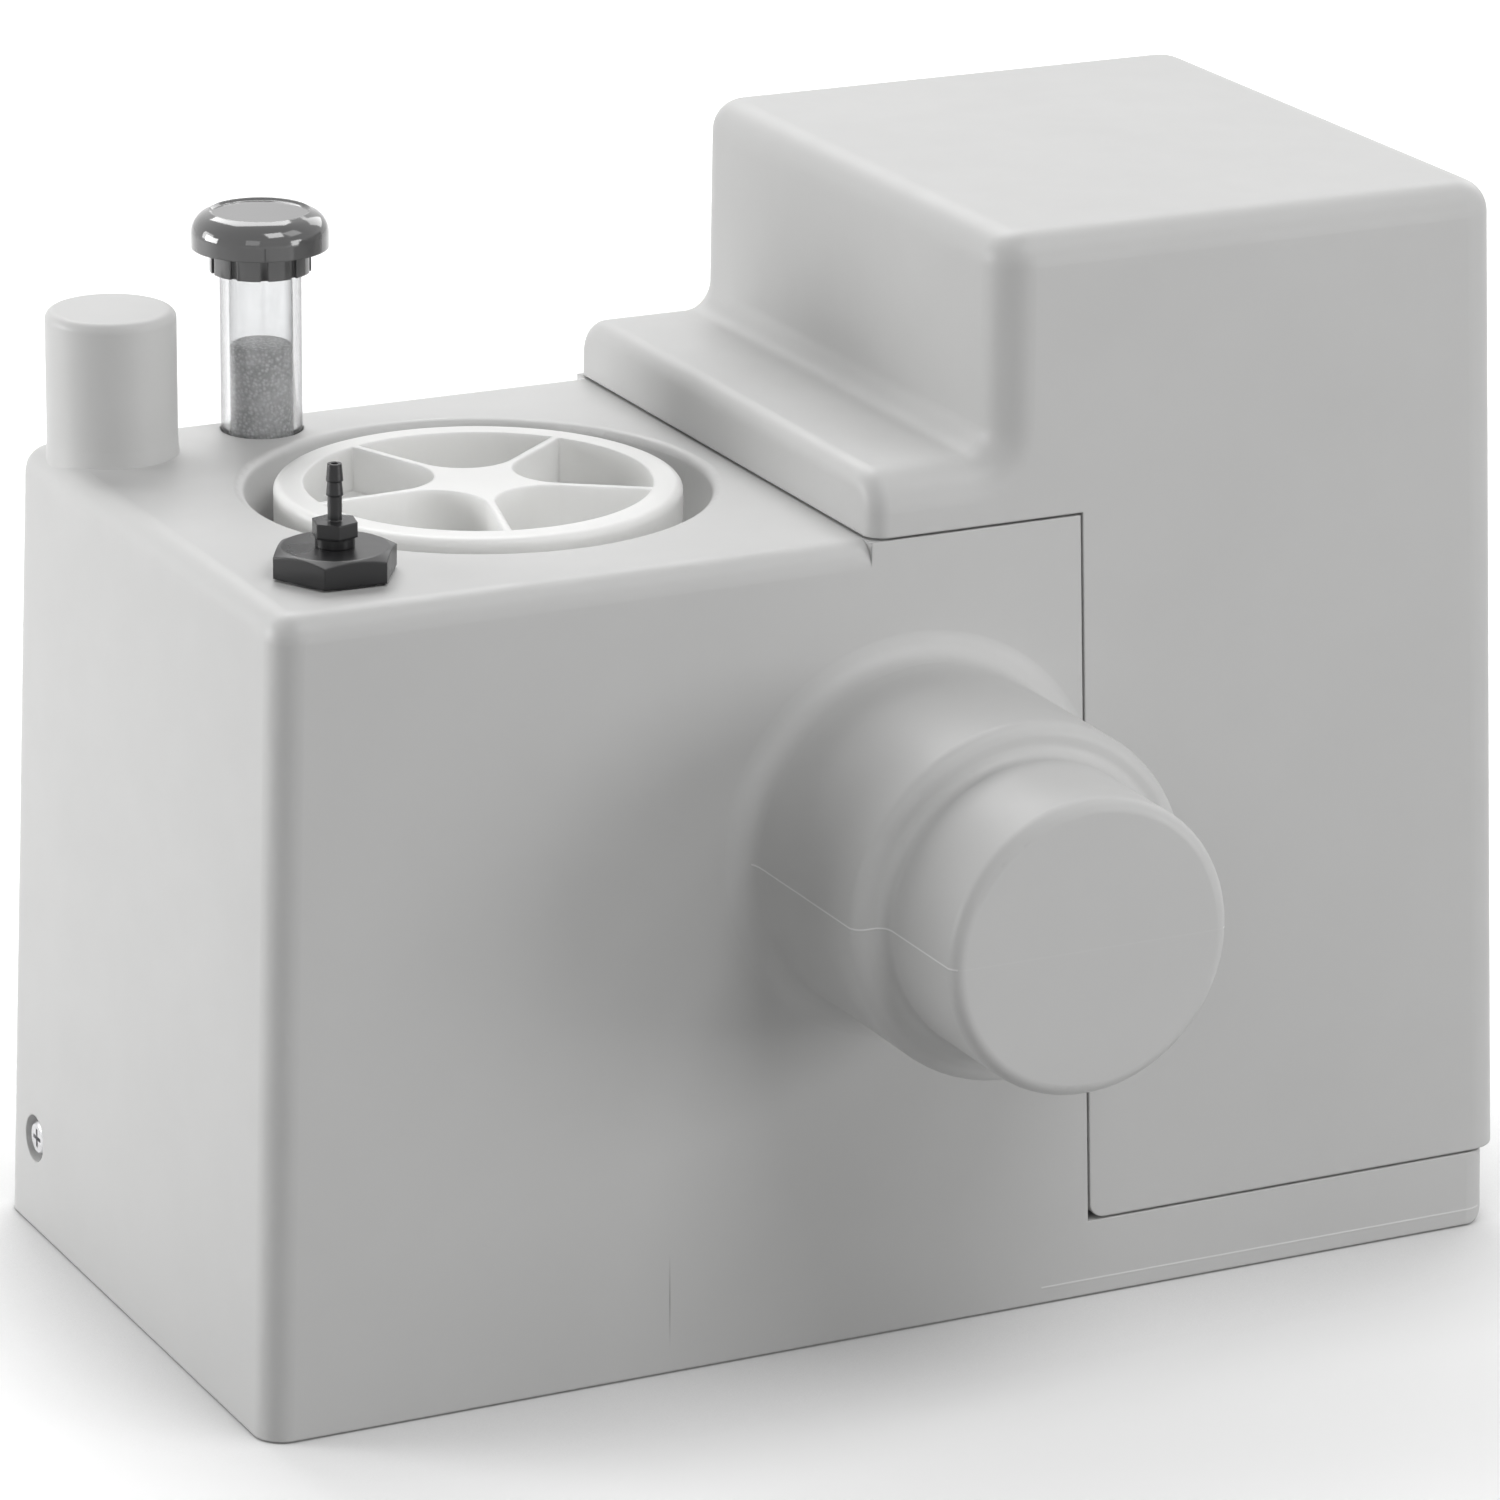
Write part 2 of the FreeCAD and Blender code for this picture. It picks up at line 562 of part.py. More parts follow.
def tank_moulding():
    hollow = cut("tank_shell", tank_outside(), [tank_inside()])
    well = turned("well_tub", [
        (0, f"{SEAT_Z} - tank_wall"), ("well_foot_radius + tank_wall", f"{SEAT_Z} - tank_wall"),
        ("well_radius + tank_wall", f"{TOP} - tank_wall / 2"), (0, f"{TOP} - tank_wall / 2"),
    ], LID_X, "lid_offset")
    neck = rod("neck", "neck_radius + neck_wall", f"{SEAT_Z} - neck_depth", SEAT_Z, LID_X, "lid_offset")
    plug_boss = rod("plug_boss", "plug_spigot_radius + tank_wall", f"{TOP} - plug_spigot_length + 2",
                    f"{TOP} - tank_wall / 2", PLUG_X, PLUG_Y)
    fix_boss = rod("fix_boss", "fix_boss_radius", "tank_wall / 2", "fix_boss_length", LEFT_FACE, FIX_Y,
                   "fix_level", "+X")
    right_boss = box("right_boss", (f"{RIGHT} - fix_boss_length - tank_wall", f"{RIGHT} - tank_wall"),
                     (f"{FIX_Y} - fix_boss_radius", f"{FIX_Y} + fix_boss_radius"),
                     ("0", "ledge_height - tank_wall / 2"))
    lugs = []
    for side, name in ((-1, "left_lug"), (1, "right_lug")):
        lugs.append(box(name, (f"{lug_x(side)} - lug_width / 2", f"{lug_x(side)} + lug_width / 2"),
                        (f"{LUG_FACE} - lug_depth", LUG_FACE),
                        ("ledge_height - tank_wall / 2", "ledge_height + lug_height")))
    whole = fused("tank_bosses", [hollow, well, neck, plug_boss, fix_boss, right_boss] + lugs)
    mouth = turned("well_cut", [
        (0, f"{SEAT_Z} - neck_depth - 1"), ("neck_radius", f"{SEAT_Z} - neck_depth - 1"),
        ("neck_radius", SEAT_Z), ("well_foot_radius", SEAT_Z), ("well_radius", TOP),
        ("well_radius", f"{TOP} + 1"), (0, f"{TOP} + 1"),
    ], LID_X, "lid_offset")
    vent = turned("vent_socket", [
        (0, f"{TOP} - 3 * tank_wall"), ("vent_hole_radius", f"{TOP} - 3 * tank_wall"),
        ("vent_hole_radius", f"{TOP} - vent_socket_depth"),
        ("tube_radius + vent_socket_room", f"{TOP} - vent_socket_depth"),
        ("tube_radius + vent_socket_room", f"{TOP} + 1"),
        (0, f"{TOP} + 1"),
    ], VENT_X, VENT_Y)
    plug = rod("plug_hole", "plug_spigot_radius", f"{TOP} - 2 * plug_spigot_length", f"{TOP} + 1",
               PLUG_X, PLUG_Y)
    dip = rod("dip_hole", "dip_radius", f"{TOP} - 2 * tank_wall", f"{TOP} + 1", SWITCH_X)
    inlet = rod("inlet_hole", "inlet_radius + sleeve_thickness", "0", "6 * tank_wall",
                f"{seam_at(INLET_Z)} - 3 * tank_wall", 0, INLET_Z, "+X")
    holes = [mouth, vent, plug, dip, inlet]
    for name, x, z, way in (("left_fix", LEFT_FACE, "fix_level", "+X"),
                            ("right_fix", RIGHT_FACE, "fix_low_level", "-X")):
        holes.append(turned(name + "_hole", [
            (0, "-tank_wall"), ("fix_recess_radius", "-tank_wall"),
            ("fix_recess_radius", "fix_recess_depth"), ("insert_radius", "fix_recess_depth"),
            ("insert_radius", "fix_recess_depth + insert_length"),
            (0, "fix_recess_depth + insert_length"),
        ], x, FIX_Y, z, way))
    for side, name in ((-1, "left_lug_hole"), (1, "right_lug_hole")):
        holes.append(rod(name, "hood_screw_radius", "-1", "hood_screw_length", lug_x(side), LUG_FACE,
                         LUG_Z, "-Y"))
    moulding = cut("tank_moulding", whole, holes)
    keep("tank", rounded("well_rim", moulding, "well_lip", lambda edge: (
        level_at(edge, TOP) and len(edge.Vertexes) == 1
        and abs(edge.BoundBox.XLength - number("2 * well_radius")) < 0.1)))


LEFT_FACE = left_at("fix_level")
RIGHT_FACE = f"({RIGHT} - fix_low_level * tan(draft_left))"


# The fixing screws sit in round recesses low on both ends, in brass inserts.
def fixing_screws():
    screws = []
    inserts = []
    for name, x, z, way in (("left", LEFT_FACE, "fix_level", "+X"),
                            ("right", RIGHT_FACE, "fix_low_level", "-X")):
        seat = "fix_recess_depth"
        insert = ring(name + "_insert", "fix_shank_radius", "insert_radius", seat,
                      f"{seat} + insert_length", x, FIX_Y, z, way)
        inserts.append(insert)
        screw = turned(name + "_screw", [
            (0, f"{seat} - fix_head_height"), ("fix_head_radius - 1", f"{seat} - fix_head_height"),
            ("fix_head_radius", f"{seat} - fix_head_height + 1"), ("fix_head_radius", seat),
            ("fix_shank_radius", seat), ("fix_shank_radius", f"{seat} + fix_shank_length"),
            (0, f"{seat} + fix_shank_length"),
        ], x, FIX_Y, z, way)
        cross = []
        half_long = "cross_length / 2"
        half_wide = "cross_width / 2"
        face = f"({x} {'+' if way == '+X' else '-'} ({seat} - fix_head_height))"
        deep = (f"{face} - cross_depth", f"{face} + cross_depth")
        for suffix, wide, tall in (("flat", half_long, half_wide), ("tall", half_wide, half_long)):
            cross.append(box(f"{name}_cross_{suffix}", deep, (f"{FIX_Y} - {wide}", f"{FIX_Y} + {wide}"),
                             (f"{z} - {tall}", f"{z} + {tall}")))
        screws.append(cut(name + "_screw_cut", screw, cross))
    keep("side_inserts", group("side_insert_pair", inserts))
    keep("side_screws", group("side_screw_pair", screws))


# The hood's profile runs along the front; drafted planes then trim its front and back.
def hood_profile(wall, low, seat):
    """The hood's corners in the XZ plane, set in by the wall."""
    tower = f"({LEFT} + tower_start + {wall})"
    step = f"({LEFT} + step_start + {wall})"
    top = f"(hood_height - {wall})"
    shelf = f"(step_height - {wall})"
    gap = "seam_gap" if wall == "0" else "seam_gap - 1"
    return [
        (f"{seam_at(low)} + {gap}", low), (f"{hood_right_at(low)} - {wall}", low),
        (f"{hood_right_at(top)} - {wall}", top), (tower, top), (tower, shelf), (step, shelf),
        (step, seat), (f"{seam_at(seat)} + {gap}", seat),
    ]


def hood_block(name, wall, low, seat):
    body = new_body(name)
    sketch = outline(new_sketch(body, name + "_outline", "XZ_Plane", "-tank_depth"),
                     hood_profile(wall, low, seat))
    pad = body.newObject("PartDesign::Pad", name + "_pad")
    pad.Profile = sketch
    pad.Length = number("2 * tank_depth")
    tie(pad, "Length", "2 * tank_depth")
    ends = (f"{LEFT}", f"{RIGHT} + tank_wall * 4")

    def slab(z):
        return ends + (f"{front_at(z)} + {wall}", f"{back_at(z)} - {wall}")

    trim = tapered(name + "_trim", "0", slab("0"), "2 * hood_height", slab("2 * hood_height"))
    return common(name + "_block", body, trim)


def hood_rounding(name, block, wall):
    """Round the hood's root first, so that the corners' rounding runs on along the step."""
    top = f"(hood_height - {wall})"
    shelf = f"(step_height - {wall})"
    tower = number(f"({LEFT} + tower_start + {wall})")
    step = number(f"({LEFT} + step_start + {wall})")
    block = rounded(name + "_root", block, f"(step_root_radius + {wall})", lambda edge: (
        abs(edge.BoundBox.XMin - tower) < 0.01 and abs(edge.BoundBox.XMax - tower) < 0.01
        and level_at(edge, shelf)))
    block = rounded(name + "_corners", block, f"(hood_corner_radius - {wall})", lambda edge: (
        upright(edge) and edge.BoundBox.ZMax > number(top) - 0.1))
    block = rounded(name + "_top", block, f"(hood_top_radius - {wall})", lambda edge: level_at(edge, top))
    return rounded(name + "_step", block, f"(step_radius - {wall} / 2)", lambda edge: (
        upright(edge) and abs(edge.BoundBox.XMax - step) < 0.01))


def motor_hood():
    low = "(ledge_height + seam_gap)"
    seat = "(tank_height + seam_gap)"
    block = hood_block("hood_outer", "0", low, seat)
    foot_x = number(seam_at(low)) + number("seam_gap")
    block = rounded("hood_foot", block, "hood_foot_radius", lambda edge: (
        level_at(edge, low) and abs(edge.BoundBox.XMax - foot_x) < 0.01))
    outside = hood_rounding("hood_skin", block, "0")
    inside = hood_rounding("hood_lining", hood_block("hood_inner", "hood_wall", f"({low} - 1)",
                                                    f"({seat} - 1)"), "hood_wall")
    hood = cut("hood_shell", outside, [inside])
    half = "(outlet_radius + notch_clearance)"
    tools = [
        box("outlet_notch", (f"{OUTLET_X} - {half}", f"{OUTLET_X} + {half}"),
            (f"{BACK} - 6 * hood_wall", f"{BACK} + hood_wall"), (f"{low} - 1", OUTLET_Z)),
        rod("outlet_arch", half, f"{BACK} - 6 * hood_wall", f"{BACK} + hood_wall", OUTLET_X, 0,
            OUTLET_Z, "+Y"),
        rod("gland_hole", "gland_radius", f"{BACK} - 6 * hood_wall", f"{BACK} + hood_wall", GLAND_X, 0,
            "gland_level", "+Y"),
    ]
    for side, name in ((-1, "left_hood_hole"), (1, "right_hood_hole")):
        tools.append(rod(name, "hood_screw_radius", "-1", "4 * hood_wall", lug_x(side),
                         f"{BACK} - 3 * hood_wall", LUG_Z, "+Y"))
    keep("hood", cut("motor_hood", hood, tools))
    screws = []
    for side, name in ((-1, "left_hood_screw"), (1, "right_hood_screw")):
        face = back_at(LUG_Z)
        screws.append(turned(name, [
            (0, "-hood_head_height"), ("hood_head_radius - 0.8", "-hood_head_height"),
            ("hood_head_radius", "0.8 - hood_head_height"), ("hood_head_radius", 0),
            ("hood_screw_radius", 0), ("hood_screw_radius", "hood_screw_length"),
            (0, "hood_screw_length"),
        ], lug_x(side), f"{face} + tan(draft_back) * hood_head_radius", LUG_Z, "-Y"))
    keep("hood_screws", group("hood_screw_pair", screws))


GLAND_X = f"({MOTOR_X} + gland_offset)"


# The lid screws into the well's neck. Five pockets for the fingers leave a star between them.
def access_lid():
    under = f"({SEAT_Z} + gasket_thickness)"
    top = f"({TOP} + lid_proud)"
    skirt = "(neck_radius - thread_clearance)"
    body = turned("lid_turned", [
        (0, under), (f"{skirt} - skirt_wall", under), (f"{skirt} - skirt_wall", f"{SEAT_Z} - skirt_depth"),
        (skirt, f"{SEAT_Z} - skirt_depth"), (skirt, under), ("lid_radius", under),
        ("lid_radius", top), (0, top),
    ], LID_X, "lid_offset")
    before = body.Tip
    sketch = new_sketch(body, "finger_pocket", "XY_Plane", top, "star_turn")
    finger_outline(sketch)
    doc.recompute()
    pocket = body.newObject("PartDesign::Pocket", "finger_pocket_cut")
    pocket.Profile = sketch
    pocket.Length = number("pocket_depth")
    tie(pocket, "Length", "pocket_depth")
    doc.recompute()
    polar(body, pocket, "finger_pockets", STAR_ARMS)
    doc.recompute()
    if body.Shape.Volume >= before.Shape.Volume:
        raise RuntimeError("the finger pockets cut nothing")
    keep("access_lid", rounded("lid_rim", body, "lid_edge", lambda edge: (
        level_at(edge, top) and abs(edge.BoundBox.XLength - number("2 * lid_radius")) < 0.1)))
    keep("lid_gasket", ring("neck_gasket", "lid_radius - 0.7 - gasket_width", "lid_radius - 0.7",
                            SEAT_Z, under, LID_X, "lid_offset"))


def finger_outline(sketch):
    """An arc along the rim, two sides along the star's ribs and a round end towards the middle."""
    half_step = f"({360 / STAR_ARMS / 2}deg)"
    rim = number("pocket_radius")
    height = f"pocket_radius * sin({half_step} - asin(star_rib / 2 / pocket_radius))"
    nose_radius = f"apex_centre * sin{half_step} - star_rib / 2"
    corner_y = number(height)
    corner = FreeCAD.Vector((rim * rim - corner_y * corner_y) ** 0.5, corner_y, 0)
    centre = number("apex_centre")
    small = number(nose_radius)
    contact = FreeCAD.Vector(centre - small * number("sin" + half_step), small * number("cos" + half_step), 0)
    low_corner = FreeCAD.Vector(corner.x, -corner.y, 0)
    low_contact = FreeCAD.Vector(contact.x, -contact.y, 0)
    arc = Part.Arc(low_corner, FreeCAD.Vector(rim, 0, 0), corner)
    nose = Part.Arc(contact, FreeCAD.Vector(centre - small, 0, 0), low_contact)
    sketch.addGeometry([arc, Part.LineSegment(corner, contact), nose,
                        Part.LineSegment(low_contact, low_corner)], False)
    for kind, ends in (("Coincident", (0, 2, 1, 1)), ("Tangent", (1, 2, 2, 1)), ("Tangent", (2, 2, 3, 1)),
                       ("Coincident", (3, 2, 0, 1)), ("Coincident", (0, 3, -1, 1)),
                       ("PointOnObject", (2, 3, -1))):
        sketch.addConstraint(Sketcher.Constraint(kind, *ends))
    for item, text in (
        (Sketcher.Constraint("Radius", 0, rim), "pocket_radius"),
        (Sketcher.Constraint("Radius", 2, small), nose_radius),
        (Sketcher.Constraint("DistanceX", -1, 1, 2, 3, centre), "apex_centre"),
        (Sketcher.Constraint("DistanceY", -1, 1, 0, 2, corner.y), height),
        (Sketcher.Constraint("DistanceY", -1, 1, 0, 1, -corner.y), "-" + height),
    ):
        tie(sketch, f"Constraints[{sketch.addConstraint(item)}]", text)


# The vent is a clear tube in a socket of the tank's top, with a charge of carbon on a screen.
def vent():
    socket = f"({TOP} - vent_socket_depth)"
    low = f"({socket} + vent_ring_thickness)"
    bore = "(tube_radius - tube_wall)"
    keep("vent_seal", ring("vent_ring", "vent_ring_bore", "tube_radius", socket, low, VENT_X, VENT_Y))
    keep("vent_tube", ring("clear_tube", bore, "tube_radius", low, f"{low} + tube_length", VENT_X,
                           VENT_Y))
    keep("carbon_screen", rod("screen", bore, low, f"{low} + screen_thickness", VENT_X, VENT_Y))
    screen = f"({low} + screen_thickness)"
    keep("carbon_charge", turned("carbon", [
        (0, screen), (f"{bore} - carbon_clearance", screen),
        (f"{bore} - carbon_clearance", f"{screen} + carbon_height"),
        (0, f"{screen} + carbon_height + carbon_heap"),
    ], VENT_X, VENT_Y))
    bottom = f"({low} + tube_length - cap_overlap)"
    top = f"({bottom} + cap_height)"
    grip = "(tube_radius + cap_clearance)"
    cap = turned("cap_turned", [
        (grip, f"{bottom} - collar_height"), ("collar_radius", f"{bottom} - collar_height"),
        ("collar_radius", f"{bottom} + cap_wall"), ("cap_radius - cap_wall", f"{bottom} + cap_wall"),
        ("cap_radius - cap_wall", bottom), ("cap_radius", bottom),
        ("cap_radius", f"{top} - cap_rise"), ("cap_dish_radius", top),
        ("cap_dish_radius - cap_dish_depth", f"{top} - cap_dish_depth"),
        (0, f"{top} - cap_dish_depth"), (0, f"{top} - 2 * cap_wall"),
        (grip, f"{top} - 2 * cap_wall"),
    ], VENT_X, VENT_Y)
    before = cap.Tip
    sketch = new_sketch(cap, "collar_notch", "XY_Plane", f"{bottom} - collar_height")
    outline(sketch, [("collar_radius - notch_depth", "-notch_width / 2"),
                     ("collar_radius + 1", "-notch_width / 2"), ("collar_radius + 1", "notch_width / 2"),
                     ("collar_radius - notch_depth", "notch_width / 2")])
    notch = cap.newObject("PartDesign::Pocket", "collar_notch_cut")
    notch.Profile = sketch
    notch.Reversed = True
    notch.Length = number("collar_height - 1")
    tie(notch, "Length", "collar_height - 1")
    doc.recompute()
    polar(cap, notch, "collar_notches", CAP_NOTCHES)
    doc.recompute()
    if cap.Shape.Volume >= before.Shape.Volume:
        raise RuntimeError("the collar notches cut nothing")
    keep("vent_cap", rounded("cap_dome", cap, "cap_shoulder", lambda edge: (
        level_at(edge, f"{top} - cap_rise") and abs(edge.BoundBox.XLength - number("2 * cap_radius")) < 0.1)))


# The black plug screws into the tank's top and carries a barb for a small hose.
def hose_plug():
    low = f"({TOP} + plug_seal_thickness)"
    high = f"({low} + plug_height)"
    head = padded("plug_head", hexagon("plug_across"), low, "plug_height", turn="plug_turn")
    reach = "(plug_across / 2 / cos(30))"
    dome = turned("plug_dome", [
        (0, low), (reach, low), (reach, f"{high} - plug_chamfer"),
        (f"{reach} - 2.2 * plug_chamfer", high), (0, high),
    ])
    head = common("plug_hexagon", head, dome)
    spigot = rod("plug_spigot", "plug_spigot_radius", f"{TOP} - plug_spigot_length", low)
    plug = cut("plug_drilled", fused("plug_whole", [head, spigot]), [
        rod("plug_bore", "barb_thread_radius", f"{high} - barb_thread_length", f"{high} + 1"),
        rod("plug_port", "barb_bore", f"{TOP} - plug_spigot_length - 1", f"{high} + 1"),
    ])
    place(plug, PLUG_X, PLUG_Y)
    keep("barb_plug", plug)
    keep("plug_seal", ring("plug_ring", "plug_spigot_radius", "plug_spigot_radius + plug_seal_width",
                           TOP, low, PLUG_X, PLUG_Y))
    hub = f"({high} + barb_hub_height)"
    nut = f"({hub} + barb_hex_height)"
    tip = f"({nut} + barb_length)"
    stem = "barb_stem_radius"
    tooth = "barb_radius"
    stages = [(0, f"{high} - barb_thread_length"), ("barb_thread_radius", f"{high} - barb_thread_length"),
              ("barb_thread_radius", high), ("barb_hub_radius", high), ("barb_hub_radius", hub),
              (stem, hub), (stem, f"{nut} + barb_length * 0.45"), (tooth, f"{nut} + barb_length * 0.45"),
              (stem, f"{nut} + barb_length * 0.7"), (tooth, f"{nut} + barb_length * 0.7"),
              (stem, tip), (0, tip)]
    barb = turned("barb_turned", stages)
    hexed = padded("barb_hexagon", hexagon("barb_across"), hub, "barb_hex_height", turn="plug_turn + 20")
    barb = cut("barb_drilled", fused("barb_whole", [barb, hexed]), [
        rod("barb_port", "barb_bore", f"{high} - barb_thread_length - 1", f"{tip} + 1")])
    place(barb, PLUG_X, PLUG_Y)
    keep("hose_barb", barb)


# The pump casing holds the cutter chamber below and the volute above; its inlet enters the tank.
def pump_casing():
    outer = turned("casing_turned", [
        (0, CASE_Z), ("suction_radius + casing_wall", CASE_Z),
        ("suction_radius + casing_wall", f"{EYE_Z} - casing_wall"), ("casing_radius", EYE_Z),
        ("casing_radius", f"{PLATE_Z} - flange_thickness"),
        (FLANGE, f"{PLATE_Z} - flange_thickness"), (FLANGE, PLATE_Z), (0, PLATE_Z),
    ])
    inlet = rod("inlet_pipe", "inlet_radius", f"{seam_at(INLET_Z)} - tank_wall - inlet_into_tank",
                MOTOR_X, 0, 0, INLET_Z, "+X")
    place(outer, MOTOR_X)
    outlet = rod("outlet_pipe", "outlet_radius", 0, f"{BACK} + outlet_end", OUTLET_X, 0, OUTLET_Z, "+Y")
    inner = turned("casing_hollow", [
        (0, f"{CASE_Z} + casing_wall"), ("suction_radius", f"{CASE_Z} + casing_wall"),
        ("suction_radius", EYE_Z), ("ring_radius - ring_lip", EYE_Z),
        ("ring_radius - ring_lip", f"{EYE_Z} + lip_thickness"), ("ring_radius", f"{EYE_Z} + lip_thickness"),
        ("ring_radius", VOLUTE_Z), ("volute_radius", VOLUTE_Z), ("volute_radius", f"{PLATE_Z} + 1"),
        (0, f"{PLATE_Z} + 1"),
    ], MOTOR_X)
    tools = [
        inner,
        rod("inlet_bore", "inlet_bore", f"{seam_at(INLET_Z)} - 4 * tank_wall", MOTOR_X, 0, 0, INLET_Z, "+X"),
        rod("outlet_bore", "outlet_bore", 0, f"{BACK} + 2 * outlet_end", OUTLET_X, 0, OUTLET_Z, "+Y"),
        ring("ring_groove", "groove_start", "groove_start + groove_width", f"{PLATE_Z} - groove_depth",
             f"{PLATE_Z} + 1", MOTOR_X),
    ]
    for index, (x, y) in enumerate(around(SCREW_CIRCLE, CASING_SCREWS)):
        tools.append(rod(f"casing_tap_{index}", "casing_screw_radius",
                         f"{MOTOR_Z} - casing_screw_length - 1", f"{PLATE_Z} + 1", f"{MOTOR_X} + {x}", y))
    for index, (x, y) in enumerate(around("foot_circle", FEET, FOOT_START)):
        tools.append(rod(f"foot_socket_{index}", "foot_radius / 2", f"{CASE_Z} - 1", f"{CASE_Z} + 2",
                         f"{MOTOR_X} + {x}", y))
    keep("pump_casing", cut("pump_casing_moulding", fused("casing_whole", [outer, inlet, outlet]), tools))
    keep("inlet_seal", ring("inlet_sleeve", "inlet_radius", "inlet_radius + sleeve_thickness",
                            f"{seam_at(INLET_Z)} - 2 * tank_wall", f"{seam_at(INLET_Z)} + tank_wall",
                            0, 0, INLET_Z, "+X"))
    keep("casing_seal", ring("casing_ring", "groove_start", "groove_start + groove_width",
                             f"{PLATE_Z} - groove_depth", PLATE_Z, MOTOR_X))
    feet = []
    for index, (x, y) in enumerate(around("foot_circle", FEET, FOOT_START)):
        feet.append(turned(f"foot_{index}", [
            (0, "ledge_height"), ("foot_radius", "ledge_height"), ("foot_radius", CASE_Z),
            ("foot_radius / 2", CASE_Z), ("foot_radius / 2", f"{CASE_Z} + 2"), (0, f"{CASE_Z} + 2"),
        ], f"{MOTOR_X} + {x}", y))
    keep("pump_feet", group("foot_set", feet))
    screws = []
    for index, (x, y) in enumerate(around(SCREW_CIRCLE, CASING_SCREWS)):
        screws.append(turned(f"casing_screw_{index}", [
            (0, f"{MOTOR_Z} - casing_screw_length"),
            ("casing_screw_radius", f"{MOTOR_Z} - casing_screw_length"),
            ("casing_screw_radius", MOTOR_Z), ("casing_head_radius", MOTOR_Z),
            ("casing_head_radius", f"{MOTOR_Z} + casing_head_height"),
            (0, f"{MOTOR_Z} + casing_head_height"),
        ], f"{MOTOR_X} + {x}", y))
    keep("casing_screws", group("casing_screw_set", screws))


def slotted(name, body, points, low, depth, count):
    """Cut one outline up from a level of a round body and repeat it round the axis."""
    before = body.Tip
    sketch = outline(new_sketch(body, name + "_outline", "XY_Plane", low), points)
    slot = body.newObject("PartDesign::Pocket", name + "_cut")
    slot.Profile = sketch
    slot.Reversed = True
    slot.Length = number(depth)
    tie(slot, "Length", depth)
    doc.recompute()
    polar(body, slot, name, count)
    doc.recompute()
    if body.Shape.Volume >= before.Shape.Volume:
        raise RuntimeError(name + " cuts nothing")
    return body


def bladed(name, body, points, low, height, count):
    """Stand one outline on a round body and repeat it round the axis."""
    sketch = outline(new_sketch(body, name + "_outline", "XY_Plane", low), points)
    blade = body.newObject("PartDesign::Pad", name + "_pad")
    blade.Profile = sketch
    blade.Length = number(height)
    tie(blade, "Length", height)
    doc.recompute()
    polar(body, blade, name, count)
    doc.recompute()
    return body


def strip(start, end, width):
    """A narrow rectangle along the X axis."""
    half = f"({width}) / 2"
    return [(start, f"-{half}"), (end, f"-{half}"), (end, half), (start, half)]


# Waste is cut between the blade and the slotted ring at the volute's eye.
def pump_works():
    low = f"({VOLUTE_Z} - ring_thickness)"
    cutter = ring("cutter_turned", "eye_radius", "ring_radius", low, VOLUTE_Z, MOTOR_X)
    slotted("cutter_slots", cutter, strip("eye_radius - 2", "eye_radius + cutter_slot_depth",
                                          "cutter_slot_width"), f"{low} - 1", "ring_thickness + 2",
            CUTTER_SLOTS)
    keep("cutter_ring", cutter)
    vane_low = f"({VOLUTE_Z} + impeller_gap)"
    disc = f"({vane_low} + vane_height)"
    back = f"({disc} + disc_thickness)"
    impeller = turned("impeller_turned", [
        ("shaft_radius", vane_low), ("hub_radius", vane_low), ("hub_radius", disc),
        (IMPELLER, disc), (IMPELLER, back), ("shaft_radius", back),
    ], MOTOR_X)
    bladed("impeller_vanes", impeller, strip("hub_radius - 1", f"{IMPELLER} - 1", "vane_width"),
           vane_low, "vane_height + disc_thickness / 2", VANES)
    keep("impeller", impeller)
    keep("seal_head", ring("seal_rotating", "shaft_radius", "seal_radius", back,
                           f"{PLATE_Z} - seal_gap", MOTOR_X))
    keep("seal_seat", ring("seal_static", "shaft_radius + shaft_room", "seat_radius", PLATE_Z,
                           f"{PLATE_Z} + seat_depth", MOTOR_X))
    plate = turned("plate_turned", [
        ("seat_radius", PLATE_Z), (FLANGE, PLATE_Z), (FLANGE, MOTOR_Z),
        ("shaft_radius + 2 * shaft_room", MOTOR_Z),
        ("shaft_radius + 2 * shaft_room", f"{PLATE_Z} + seat_depth"),
        ("seat_radius", f"{PLATE_Z} + seat_depth"),
    ], MOTOR_X)
    pierced("plate_screw_holes", plate, "casing_screw_radius", "2 * plate_thickness",
            around(SCREW_CIRCLE, CASING_SCREWS), f"{MOTOR_Z} + 1")
    pierced("plate_tie_holes", plate, "tie_radius", "plate_thickness",
            around(TIE_CIRCLE, TIE_BOLTS, TIE_START), MOTOR_Z)
    keep("seal_plate", plate)
    blade_top = f"({low} - blade_gap)"
    blade_low = f"({blade_top} - blade_thickness)"
    half_long = "blade_length / 2"
    half_wide = "blade_width / 2"
    blade = padded("blade_bar", [
        (f"-{half_long}", f"-{half_wide}"), ("0", f"-{half_wide} * 1.35"),
        (half_long, f"-{half_wide} * 0.5"), (half_long, half_wide), ("0", f"{half_wide} * 1.35"),
        (f"-{half_long}", f"{half_wide} * 0.5"),
    ], blade_low, "blade_thickness", MOTOR_X, hole="shaft_radius - 1")
    keep("cutter_blade", blade)
    keep("shaft_nut", padded("nut_hexagon", hexagon("nut_across"), f"{blade_low} - nut_height",
                             "nut_height", MOTOR_X, hole="shaft_radius - 1"))
    keep("motor_shaft", turned("shaft_turned", [
        (0, f"{blade_low} - nut_height - 2"), ("shaft_radius - 1", f"{blade_low} - nut_height - 2"),
        ("shaft_radius - 1", blade_top), ("shaft_radius", blade_top),
        ("shaft_radius", f"{FAN_Z} + fan_height + shaft_above_fan - 1"),
        ("shaft_radius - 1", f"{FAN_Z} + fan_height + shaft_above_fan"),
        (0, f"{FAN_Z} + fan_height + shaft_above_fan"),
    ], MOTOR_X))


